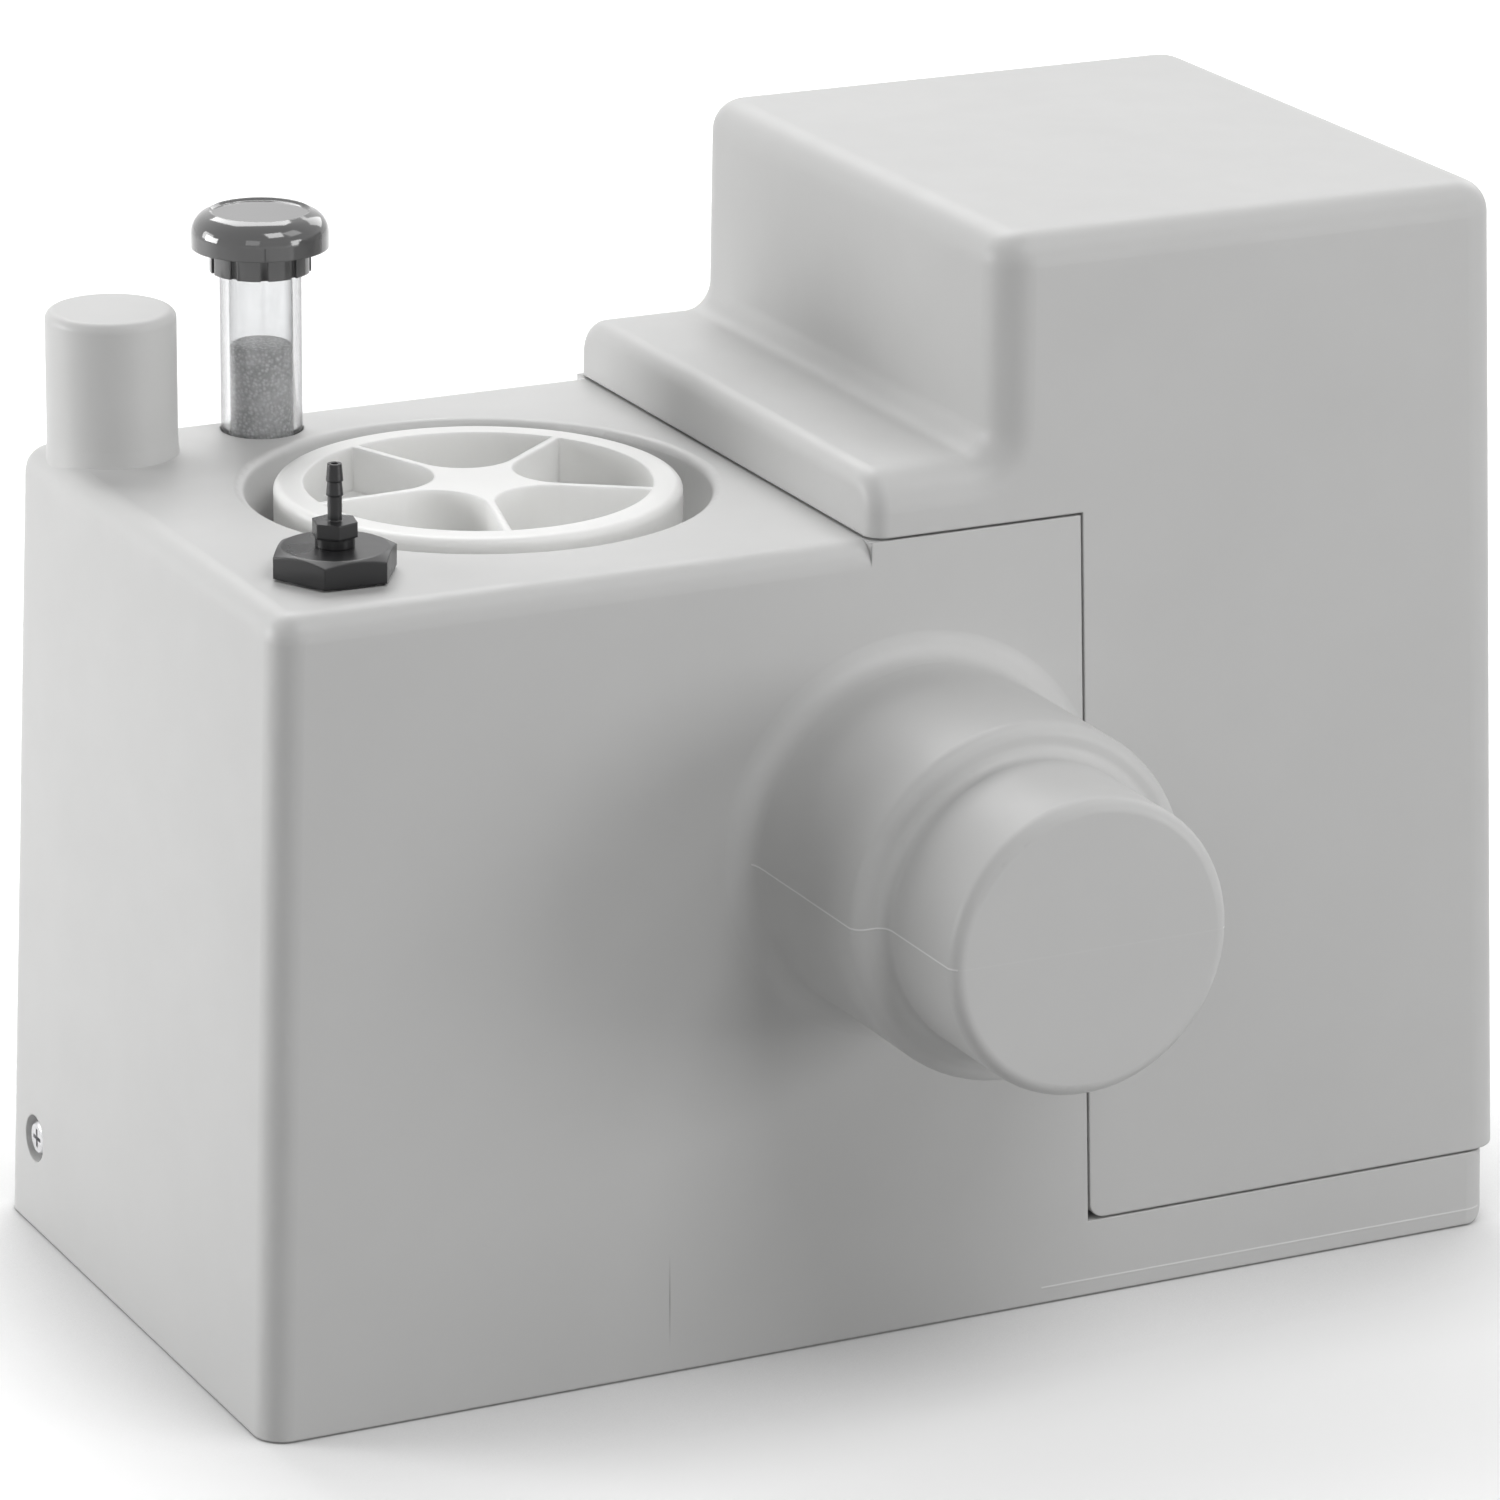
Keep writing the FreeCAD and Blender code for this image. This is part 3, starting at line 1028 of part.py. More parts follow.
# Bearings sit in the hubs of the two end shields, which clamp the stator between them.
def bearing(name, low):
    high = f"({low} + bearing_width)"
    middle = "((bearing_radius + race_radius) / 2)"
    keep(f"{name}_bearing", turned(f"{name}_bearing_outer", [
        ("race_radius + race_gap", low), (middle, f"{low} + 0.6"), ("bearing_radius", low),
        ("bearing_radius", high), (middle, f"{high} - 0.6"), ("race_radius + race_gap", high),
    ], MOTOR_X))
    keep(f"{name}_bearing_inner", ring(f"{name}_bearing_sleeve", "shaft_radius", "race_radius", low,
                                       high, MOTOR_X))


def end_shield(name, low, flip):
    """A bell with a bearing hub in its web. The web is at the low end, or at the high end if flipped."""
    def at(height):
        return f"({low} + shield_height - ({height}))" if flip else f"({low} + ({height}))"

    bore = "(shaft_radius + 2 * shaft_room)"
    body = turned(name + "_turned", [
        (bore, at("0")), ("stator_radius", at("0")), ("stator_radius", at("shield_height")),
        ("stator_radius - shield_ring", at("shield_height")),
        ("stator_radius - shield_ring", at("shield_web")),
        ("bearing_radius + bearing_hub", at("shield_web")),
        ("bearing_radius + bearing_hub", at("2 + bearing_width")),
        ("bearing_radius", at("2 + bearing_width")), ("bearing_radius", at("2")), (bore, at("2")),
    ], MOTOR_X)
    pierced(name + "_tie_holes", body, "tie_radius", "2 * shield_height",
            around(TIE_CIRCLE, TIE_BOLTS, TIE_START), f"{low} + shield_height + 1")
    window = strip("stator_radius - shield_ring - 2", "stator_radius + 2", "3 * shield_ring")
    slotted(name + "_windows", body, window, f"{low} + shield_web + 3", "shield_height - 2 * shield_web - 3",
            4)
    keep(name, body)


def motor():
    end_shield("lower_end_shield", MOTOR_Z, False)
    end_shield("upper_end_shield", CORE_TOP, True)
    bearing("lower", f"({MOTOR_Z} + 2)")
    bearing("upper", f"({MOTOR_TOP} - 2 - bearing_width)")
    core = ring("stator_turned", "stator_bore", "stator_radius", CORE_Z, CORE_TOP, MOTOR_X)
    pierced("stator_tie_holes", core, "tie_radius", "2 * stack_height",
            around(TIE_CIRCLE, TIE_BOLTS, TIE_START), f"{CORE_TOP} + 1")
    slotted("stator_slots", core, strip("stator_bore - 1", "stator_radius - back_iron", "slot_width"),
            f"{CORE_Z} - 1", "stack_height + 2", STATOR_SLOTS)
    keep("stator_core", core)
    outer = "(stator_radius - shield_ring - winding_room)"
    inner = f"({outer} - winding_width)"
    windings = []
    for name, face, way in (("lower_winding", CORE_Z, "-"), ("upper_winding", CORE_TOP, "+")):
        windings.append(turned(name, [
            (inner, face), (outer, face), (outer, f"{face} {way} winding_height * 0.7"),
            (f"{outer} - winding_width * 0.25", f"{face} {way} winding_height"),
            (f"{inner} + winding_width * 0.25", f"{face} {way} winding_height"),
            (inner, f"{face} {way} winding_height * 0.7"),
        ], MOTOR_X))
    keep("stator_windings", group("winding_pair", windings))
    rings = "(rotor_radius - 4)"
    keep("rotor_core", turned("rotor_turned", [
        ("shaft_radius", f"{CORE_Z} - end_ring_height"), (rings, f"{CORE_Z} - end_ring_height"),
        (rings, CORE_Z), ("rotor_radius", CORE_Z), ("rotor_radius", CORE_TOP), (rings, CORE_TOP),
        (rings, f"{CORE_TOP} + end_ring_height"), ("shaft_radius", f"{CORE_TOP} + end_ring_height"),
    ], MOTOR_X))
    bolts = []
    posts = []
    for index, (x, y) in enumerate(around(TIE_CIRCLE, TIE_BOLTS, TIE_START)):
        spot = (f"{MOTOR_X} + {x}", y)
        bolts.append(rod(f"tie_bolt_{index}", "tie_radius", f"{MOTOR_Z} - plate_thickness + 0.5",
                         f"{MOTOR_TOP} + 2 * tie_nut_height", *spot))
        posts.append(turned(f"post_{index}", [
            ("tie_radius", MOTOR_TOP), ("post_radius", MOTOR_TOP), ("post_radius", TRAY_Z),
            ("tie_radius", TRAY_Z), ("tie_radius", f"{TRAY_Z} + tray_thickness"),
            (0, f"{TRAY_Z} + tray_thickness"), (0, f"{MOTOR_TOP} + 2 * tie_nut_height"),
            ("tie_radius", f"{MOTOR_TOP} + 2 * tie_nut_height"),
        ], *spot))
    keep("tie_bolts", group("tie_bolt_set", bolts))
    keep("tray_posts", group("post_set", posts))
    fan = turned("fan_turned", [
        ("shaft_radius", FAN_Z), ("fan_radius", FAN_Z), ("fan_radius", f"{FAN_Z} + fan_disc"),
        ("fan_hub_radius", f"{FAN_Z} + fan_disc"), ("fan_hub_radius", f"{FAN_Z} + fan_height"),
        ("shaft_radius", f"{FAN_Z} + fan_height"),
    ], MOTOR_X)
    bladed("fan_blades", fan, strip("fan_hub_radius - 1", "fan_radius - 1", "fan_blade_width"), FAN_Z,
           "fan_height", FAN_BLADES)
    keep("cooling_fan", fan)


# A tray above the fan carries the capacitor and the terminal block.
def electrics():
    top = f"({TRAY_Z} + tray_thickness)"
    half_long = "tray_length / 2"
    half_wide = "tray_width / 2"
    tray = padded("tray_plate", [
        (f"-{half_wide}", f"-{half_long}"), (half_wide, f"-{half_long}"), (half_wide, half_long),
        (f"-{half_wide}", half_long),
    ], TRAY_Z, "tray_thickness", MOTOR_X)
    pierced("tray_holes", tray, "tie_radius", "2 * tray_thickness", around(TIE_CIRCLE, TIE_BOLTS, TIE_START),
            f"{top} + 1")
    keep("electrics_tray", tray)
    x = f"({MOTOR_X} - capacitor_offset)"
    z = f"({top} + clip_thickness + capacitor_radius)"
    half = "capacitor_length / 2"
    keep("capacitor", turned("capacitor_can", [
        (0, f"-{half}"), ("capacitor_radius - 1", f"-{half}"), ("capacitor_radius", f"1 - {half}"),
        ("capacitor_radius", half), ("capacitor_radius - 2", half), ("capacitor_radius - 2", f"{half} - 1"),
        ("4", f"{half} - 1"), ("4", f"{half} + 4"), (0, f"{half} + 4"),
    ], x, 0, z, "+Y"))
    band = ring("clip_band", "capacitor_radius", "capacitor_radius + clip_thickness", "-clip_width / 2",
                "clip_width / 2", x, 0, z, "+Y")
    foot = box("clip_foot", (f"{x} - capacitor_radius - 8", f"{x} + capacitor_radius + 4"),
               ("-clip_width / 2", "clip_width / 2"), (top, f"{top} + clip_thickness"))
    keep("capacitor_clip", fused("capacitor_strap", [band, foot]))
    x = f"({MOTOR_X} + block_offset)"
    block = box("block_body", (f"{x} - block_width / 2", f"{x} + block_width / 2"),
                ("-block_length / 2", "block_length / 2"), (top, f"{top} + block_height"))
    wells = []
    for index in range(4):
        y = f"(block_length * ({index} - 1.5) / 4.6)"
        wells.append(rod(f"terminal_well_{index}", "terminal_radius", f"{top} + block_height - 6",
                         f"{top} + block_height + 1", x, y))
        wells.append(box(f"wire_entry_{index}", (f"{x} - block_width", f"{x} + block_width"),
                         (f"{y} - 2", f"{y} + 2"), (f"{top} + 3", f"{top} + 8")))
    keep("terminal_block", cut("terminal_block_moulding", block, wells))
    wall = f"({back_at('gland_level')})"
    across = hexagon("gland_across")
    hexed = padded("gland_hexagon", across, 0, "gland_flange", axis="+Y")
    dome = turned("gland_dome", [
        ("gland_bore", "-gland_stem"), ("gland_radius", "-gland_stem"), ("gland_radius", "1"),
        ("gland_radius + 1", "1"), ("gland_radius + 1", "gland_flange + gland_dome * 0.7"),
        ("gland_radius - 2", "gland_flange + gland_dome"), ("gland_bore", "gland_flange + gland_dome"),
    ], axis="+Y")
    bore = rod("gland_way", "gland_bore", "-2 * gland_stem", "4 * gland_dome", axis="+Y")
    gland = cut("gland_drilled", fused("gland_whole", [hexed, dome]), [bore])
    place(gland, GLAND_X, f"{wall} + 0.3", "gland_level")
    keep("cable_gland", gland)
    keep("gland_nut", padded("gland_locknut", across, "hood_wall + 0.6", "gland_nut_height", GLAND_X,
                             wall, "gland_level", "-Y", hole="gland_radius"))


# Air pushed up the dip tube lifts a membrane, whose plunger tips the lever of a small switch.
def level_switch():
    flange = f"({TOP} + dip_flange)"
    keep("dip_tube", turned("dip_turned", [
        ("dip_radius - dip_wall", "dip_end"), ("dip_radius", "dip_end"), ("dip_radius", TOP),
        ("dip_flange_radius", TOP), ("dip_flange_radius", flange), ("dip_radius - dip_wall", flange),
    ], SWITCH_X))
    floor = f"({flange} + cup_floor)"
    rim = f"({floor} + cup_depth)"
    keep("membrane_base", turned("cup_turned", [
        ("dip_radius - dip_wall", flange), ("cup_radius", flange), ("cup_radius", rim),
        ("cup_radius - cup_rim", rim), ("cup_radius - cup_rim", floor), ("dip_radius - dip_wall", floor),
    ], SWITCH_X))
    skin = f"({rim} + membrane_thickness)"
    boss = f"({skin} + membrane_boss)"
    keep("membrane", turned("membrane_turned", [
        (0, rim), ("cup_radius", rim), ("cup_radius", skin), ("membrane_boss_radius", skin),
        ("membrane_boss_radius", boss), (0, boss),
    ], SWITCH_X))
    top = f"({skin} + cover_height)"
    keep("membrane_cover", turned("cover_turned", [
        ("cup_radius - cup_rim", skin), ("cup_radius", skin), ("cup_radius", top),
        ("plunger_radius + plunger_clearance", top),
        ("plunger_radius + plunger_clearance", f"{top} - cover_top"),
        ("cup_radius - cup_rim", f"{top} - cover_top"),
    ], SWITCH_X))
    tip = f"({boss} + plunger_length)"
    keep("switch_plunger", turned("plunger_turned", [
        (0, boss), ("plunger_foot_radius", boss), ("plunger_foot_radius", f"{boss} + plunger_foot"),
        ("plunger_radius", f"{boss} + plunger_foot"), ("plunger_radius", f"{tip} - 1"),
        ("plunger_radius - 1", tip), (0, tip),
    ], SWITCH_X))
    under = f"({tip} + lever_gap)"
    pin_x = f"({SWITCH_X} + lever_arm)"
    pin_z = f"({under} + lever_pin_radius + eye_wall)"
    half = "lever_width / 2"
    plate = box("lever_plate", (f"{SWITCH_X} - lever_tip", pin_x), (f"-{half}", half),
                (under, f"{under} + lever_thickness"))
    eye = rod("lever_eye", "lever_pin_radius + eye_wall", f"-{half}", half, pin_x, 0, pin_z, "+Y")
    hole = rod("lever_hole", "lever_pin_radius + plunger_clearance", f"-2 * {half}", f"2 * {half}",
               pin_x, 0, pin_z, "+Y")
    keep("switch_lever", cut("lever_pierced", fused("lever_whole", [plate, eye]), [hole]))
    low = f"({under} + switch_lift)"
    side = "switch_width / 2"
    back = f"({pin_x} + 2)"
    body = box("switch_case", (f"{back} - switch_length", back), (f"-{side}", side),
               (low, f"{low} + switch_depth"))
    ears = []
    for name, y0, y1 in (("near_ear", f"-{side}", f"ear_width - {side}"),
                         ("far_ear", f"{side} - ear_width", side)):
        ears.append(box(name, (f"{pin_x} - ear_length / 2", back), (y0, y1),
                        (f"{pin_z} - ear_length / 2", f"{low} + 1")))
    pin = rod("lever_pin", "lever_pin_radius", f"-{side}", side, pin_x, 0, pin_z, "+Y")
    button = rod("switch_button", "button_radius", f"{low} - button_height", f"{low} + 1",
                 f"{pin_x} - lever_arm / 3")
    keep("microswitch", fused("switch_whole", [body, pin, button] + ears))
    bracket_y = (side, f"{side} + bracket_thickness")
    wide = (f"{pin_x} - switch_length * 0.7", f"{SWITCH_X} + cup_radius - 2")
    upright_plate = box("bracket_plate", (wide[0], back), bracket_y,
                        (f"{top} + 2 * bracket_thickness", f"{low} + switch_depth"))
    leg = box("bracket_leg", wide, bracket_y, (top, f"{low} + 1"))
    foot = box("bracket_foot", wide, (side, f"{side} + 8"), (top, f"{top} + bracket_thickness"))
    keep("switch_bracket", fused("bracket_whole", [upright_plate, leg, foot]))


# Behind the hood the outlet turns up through a check valve to a stepped hose spigot.
def outlet():
    start = f"({BACK} + outlet_sleeve_start)"
    end = f"({start} + outlet_sleeve_length)"
    keep("outlet_sleeve", ring("rubber_sleeve", "outlet_radius", "outlet_radius + sleeve_wall", start,
                               end, OUTLET_X, 0, OUTLET_Z, "+Y"))
    clips = []
    skin = "(outlet_radius + sleeve_wall)"
    for name, low in (("near_band", f"({start} + 1)"), ("far_band", f"({end} - 1 - clip_band_width)")):
        band = ring(name, skin, f"{skin} + clip_band", low, f"{low} + clip_band_width", OUTLET_X, 0,
                    OUTLET_Z, "+Y")
        lock = box(name + "_lock", (f"{OUTLET_X} - 4", f"{OUTLET_X} + 4"),
                   (low, f"{low} + clip_band_width"),
                   (f"{OUTLET_Z} - {skin} - clip_band - 5", f"{OUTLET_Z} - {skin} - clip_band / 2"))
        clips.append(fused(name + "_whole", [band, lock]))
    keep("sleeve_clips", group("clip_pair", clips))
    spigot = f"({end} - elbow_spigot + 4)"
    seat = f"({end} + 4)"
    chamber = f"({seat} + valve_wall)"
    far = f"({seat} + valve_length)"
    riser_y = f"({far} - riser_radius - riser_collar)"
    step = f"({OUTLET_Z} + riser_height)"
    outside = [
        rod("elbow_inlet", "outlet_radius", spigot, f"{seat} + 1", OUTLET_X, 0, OUTLET_Z, "+Y"),
        rod("valve_barrel", "valve_radius", seat, far, OUTLET_X, 0, OUTLET_Z, "+Y"),
        turned("riser", [
            (0, OUTLET_Z), ("riser_radius + riser_collar", OUTLET_Z),
            ("riser_radius + riser_collar", f"{OUTLET_Z} + riser_collar_height"),
            ("riser_radius", f"{OUTLET_Z} + riser_collar_height"), ("riser_radius", step),
            ("riser_radius - riser_step", step),
            ("riser_radius - riser_step", f"{step} + riser_step_height"),
            (0, f"{step} + riser_step_height"),
        ], OUTLET_X, riser_y),
    ]
    inside = [
        rod("elbow_bore", "elbow_bore", f"{spigot} - 1", f"{chamber} + 1", OUTLET_X, 0, OUTLET_Z, "+Y"),
        rod("valve_bore", "valve_bore", chamber, f"{far} - valve_wall", OUTLET_X, 0, OUTLET_Z, "+Y"),
        rod("riser_bore", "riser_bore", OUTLET_Z, f"{step} + riser_step_height + 1", OUTLET_X, riser_y),
    ]
    pin_y = f"({chamber} + flap_gap + flap_pin_back)"
    pin_z = f"({OUTLET_Z} + flap_pin_rise)"
    half = "flap_pin_length / 2"
    inside.append(rod("pin_bore", "flap_pin_radius", f"-{half}", half, OUTLET_X, pin_y, pin_z, "+X"))
    keep("discharge_elbow", cut("elbow_moulding", fused("elbow_whole", outside), inside))
    keep("flap_pin", rod("hinge_pin", "flap_pin_radius", f"-{half}", half, OUTLET_X, pin_y, pin_z, "+X"))
    face = f"({chamber} + flap_gap)"
    disc = rod("flap_disc", "flap_radius", face, f"{face} + flap_thickness", OUTLET_X, 0, OUTLET_Z, "+Y")
    wide = "flap_lug_width / 2"
    lug = rod("flap_lug", "flap_lug", f"-{wide}", wide, OUTLET_X, pin_y, pin_z, "+X")
    neck = box("flap_neck", (f"{OUTLET_X} - {wide}", f"{OUTLET_X} + {wide}"),
               (f"{face} + 0.5", f"{face} + flap_thickness"), (OUTLET_Z, pin_z))
    hole = rod("flap_hole", "flap_pin_radius + flap_pin_clearance", f"-2 * {wide}", f"2 * {wide}",
               OUTLET_X, pin_y, pin_z, "+X")
    keep("check_flap", cut("flap_pierced", fused("flap_whole", [disc, lug, neck]), [hole]))


tank_moulding()
fixing_screws()
motor_hood()
access_lid()
vent()
hose_plug()
pump_casing()
pump_works()
motor()
electrics()
level_switch()
outlet()

doc.recompute()
failed = [item.Name for item in doc.Objects if "Invalid" in item.State or "Error" in item.State]
if failed:
    raise RuntimeError("failed objects: " + ", ".join(failed))
os.makedirs("parts", exist_ok=True)
for node, piece in NODES.items():
    shape = piece.Shape
    if shape.isNull() or not shape.isValid() or not shape.Solids:
        raise RuntimeError(node + " has no valid shape")
for node, piece in NODES.items():
    piece.Shape.exportStep(f"parts/{node}.step")
    print(node, len(piece.Shape.Solids), "solids,", len(piece.Shape.Faces), "faces,",
          round(piece.Shape.Volume), "mm3")
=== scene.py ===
import json
import math

import bpy
from mathutils import Matrix, Vector

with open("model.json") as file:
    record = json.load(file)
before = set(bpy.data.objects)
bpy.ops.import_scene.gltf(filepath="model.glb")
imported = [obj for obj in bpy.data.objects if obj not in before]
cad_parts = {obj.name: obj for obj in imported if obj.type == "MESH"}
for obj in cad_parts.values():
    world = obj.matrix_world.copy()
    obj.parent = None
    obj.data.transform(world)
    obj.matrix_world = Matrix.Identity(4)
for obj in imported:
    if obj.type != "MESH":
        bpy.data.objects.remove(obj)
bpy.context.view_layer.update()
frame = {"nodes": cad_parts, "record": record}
nodes = frame["nodes"]
scene = bpy.context.scene
MM = 0.001
WHITE = (1.0, 1.0, 1.0, 1.0)

# The camera, fitted to the photograph, whose frame is taken as 1500 x 1500.
CAMERA_PLACE = Vector((-964.4, -1920.2, 870.2)) * MM
CAMERA_YAW = math.radians(26.636)
CAMERA_PITCH = math.radians(18.443)
CAMERA_ROLL = math.radians(0.709)
CAMERA_LENS = 175.187
SENSOR_WIDTH = 36.0
CLIP_START = 0.1
CLIP_END = 50.0

# Places on the tank where its mould has left marks, in millimetres. The front and its stub face -Y.
STUB_Z = 158.0
STUB_ROOT = 107.0
STUB_END = 212.5
FRONT_FACE = 104.0
RIDGE_Z = 4.9
RIDGE_START = 48.0
MARK_X = -78.8
MARK_LOW = 7.8
MARK_HIGH = 38.0

# Half widths and height of those marks in millimetres, and how strongly each one shows.
STUB_RIDGE_HALF = 0.4
FRONT_RIDGE_HALF = 0.45
MARK_HALF = 0.35
RIDGE_HEIGHT = 0.3
# The stub's side shows its ridge, painted highlight included, far more strongly than its end.
STUB_SIDE_SHARE = 0.85
STUB_END_SHARE = 0.06
FRONT_RIDGE_SHARE = 0.6
MARK_SHARE = 0.8
# The ridges are mixed towards this pale colour, a painted highlight as if light caught them.
RIDGE_HIGHLIGHT_COLOUR = (0.95, 0.95, 0.95)
MARK_COLOUR = (0.22, 0.22, 0.22)

# The skin of moulded plastic: noise scales, the slow wave's height against the fine skin, and
# how far the roughness strays to either side.
CLOUD_SCALE = 14.0
SKIN_SCALE = 900.0
WAVE_SCALE = 60.0
WAVE_HEIGHT = 1.6
GLOSS_SPREAD = 0.05
EDGE_SAMPLES = 6

# The floor, in metres. It lies lower by its gap, as the tank stands on the round of its lower edge.
# Its colour and glow carry a painted shade, darker by up to the shade's depth within the shade's
# reach of the object. Its glow, which makes it white in the distance, grows between two distances
# from the middle.
FLOOR_SIZE = 14.0
FLOOR_GAP = 0.0006
SHADE_REACH = 0.09
SHADE_DEPTH = 0.75
SHADE_SAMPLES = 8
GLOW_START = 1.0
GLOW_END = 3.0
GLOW_NEAR = 0.23
GLOW_FAR = 0.85
FLOOR_HIDDEN = (0.35, 0.35, 0.35)

# The surround's strength: where it lights the object, and where it is seen.
SURROUND_LIGHT = 0.08
SURROUND_SHOWN = 1.0

# Soft boxes: name, place, target, width and height in metres, and power in watts.
MIDDLE = (0.0, 0.0, 0.15)
SOFT_BOXES = (
    ("top_box", (0.2, -1.7, 2.6), MIDDLE, 1.2, 1.2, 26.5),
    ("back_box", (0.3, 1.4, 2.0), (0.0, 0.0, 0.2), 1.4, 1.4, 29.0),
    ("left_box", (-1.6, 1.0, 0.6), (-0.1, 0.0, 0.15), 0.7, 0.7, 7.0),
    ("left_card", (-1.1, 0.45, 0.38), (-0.2, 0.0, 0.17), 0.5, 0.35, 5.6),
    ("right_box", (1.5, -1.3, 2.4), MIDDLE, 1.2, 1.2, 10.0),
    ("low_box", (1.8, -2.2, 0.5), MIDDLE, 1.0, 1.0, 19.0),
    ("near_box", (-1.5, -1.9, 1.0), MIDDLE, 1.0, 1.0, 4.2),
    ("far_box", (1.9, 1.3, 1.4), MIDDLE, 1.2, 1.2, 10.0),
)


def camera():
    """The camera looks along the photograph's direction, with its small roll."""
    forward = Vector((
        math.sin(CAMERA_YAW) * math.cos(CAMERA_PITCH),
        math.cos(CAMERA_YAW) * math.cos(CAMERA_PITCH),
        -math.sin(CAMERA_PITCH),
    ))
    level = Vector((math.cos(CAMERA_YAW), -math.sin(CAMERA_YAW), 0.0))
    upright = level.cross(forward)
    right = level * math.cos(CAMERA_ROLL) + upright * math.sin(CAMERA_ROLL)
    up = upright * math.cos(CAMERA_ROLL) - level * math.sin(CAMERA_ROLL)
    turn = Matrix((right, up, -forward)).transposed().to_4x4()
    data = bpy.data.cameras.new("camera")
    data.lens = CAMERA_LENS
    data.sensor_width = SENSOR_WIDTH
    data.sensor_fit = "HORIZONTAL"
    data.clip_start = CLIP_START
    data.clip_end = CLIP_END
    thing = bpy.data.objects.new("camera", data)
    thing.matrix_world = Matrix.Translation(CAMERA_PLACE) @ turn
    scene.collection.objects.link(thing)
    scene.camera = thing


def soft_box(name, place, target, width, height, power):
    """An area light that faces the target."""
    data = bpy.data.lights.new(name, "AREA")
    data.shape = "RECTANGLE"
    data.size = width
    data.size_y = height
    data.energy = power
    thing = bpy.data.objects.new(name, data)
    thing.location = place
    aim = Vector(target) - Vector(place)
    thing.rotation_euler = aim.to_track_quat("-Z", "Y").to_euler()
    scene.collection.objects.link(thing)


def scaled(colour, factor):
    """The colour made lighter or darker by the factor."""
    return tuple(min(1.0, channel * factor) for channel in colour)


class Tree:
    """Adds nodes to one node tree and links them."""

    def __init__(self, tree):
        self.tree = tree

    def add(self, kind, **settings):
        """A new node of the kind, with its settings."""
        node = self.tree.nodes.new(kind)
        for key, value in settings.items():
            setattr(node, key, value)
        return node

    def link(self, source, target):
        self.tree.links.new(source, target)

    def feed(self, socket, value):
        """Puts a number or a colour on the socket, or links another node's output to it."""
        if isinstance(value, (int, float)):
            socket.default_value = value
        elif isinstance(value, tuple):
            socket.default_value = (*value, 1.0)
        else:
            self.link(value, socket)

    def math(self, operation, *values):
        node = self.add("ShaderNodeMath", operation=operation)
        for socket, value in zip(node.inputs, values):
            self.feed(socket, value)
        return node.outputs[0]

    def ranged(self, value, to_low, to_high, from_low=0.0, from_high=1.0):
        """The value brought from one range to another, and held at that one's ends."""
        node = self.add("ShaderNodeMapRange")
        for socket, number in (("From Min", from_low), ("From Max", from_high),
                               ("To Min", to_low), ("To Max", to_high)):
            node.inputs[socket].default_value = number
        self.link(value, node.inputs["Value"])
        return node.outputs["Result"]

    def shown(self):
        """One for rays that see the surround, straight, in gloss or through glass, else zero."""
        rays = self.add("ShaderNodeLightPath").outputs
        straight = self.math("MAXIMUM", rays["Is Camera Ray"], rays["Is Glossy Ray"])
        return self.math("MAXIMUM", straight, rays["Is Transmission Ray"])


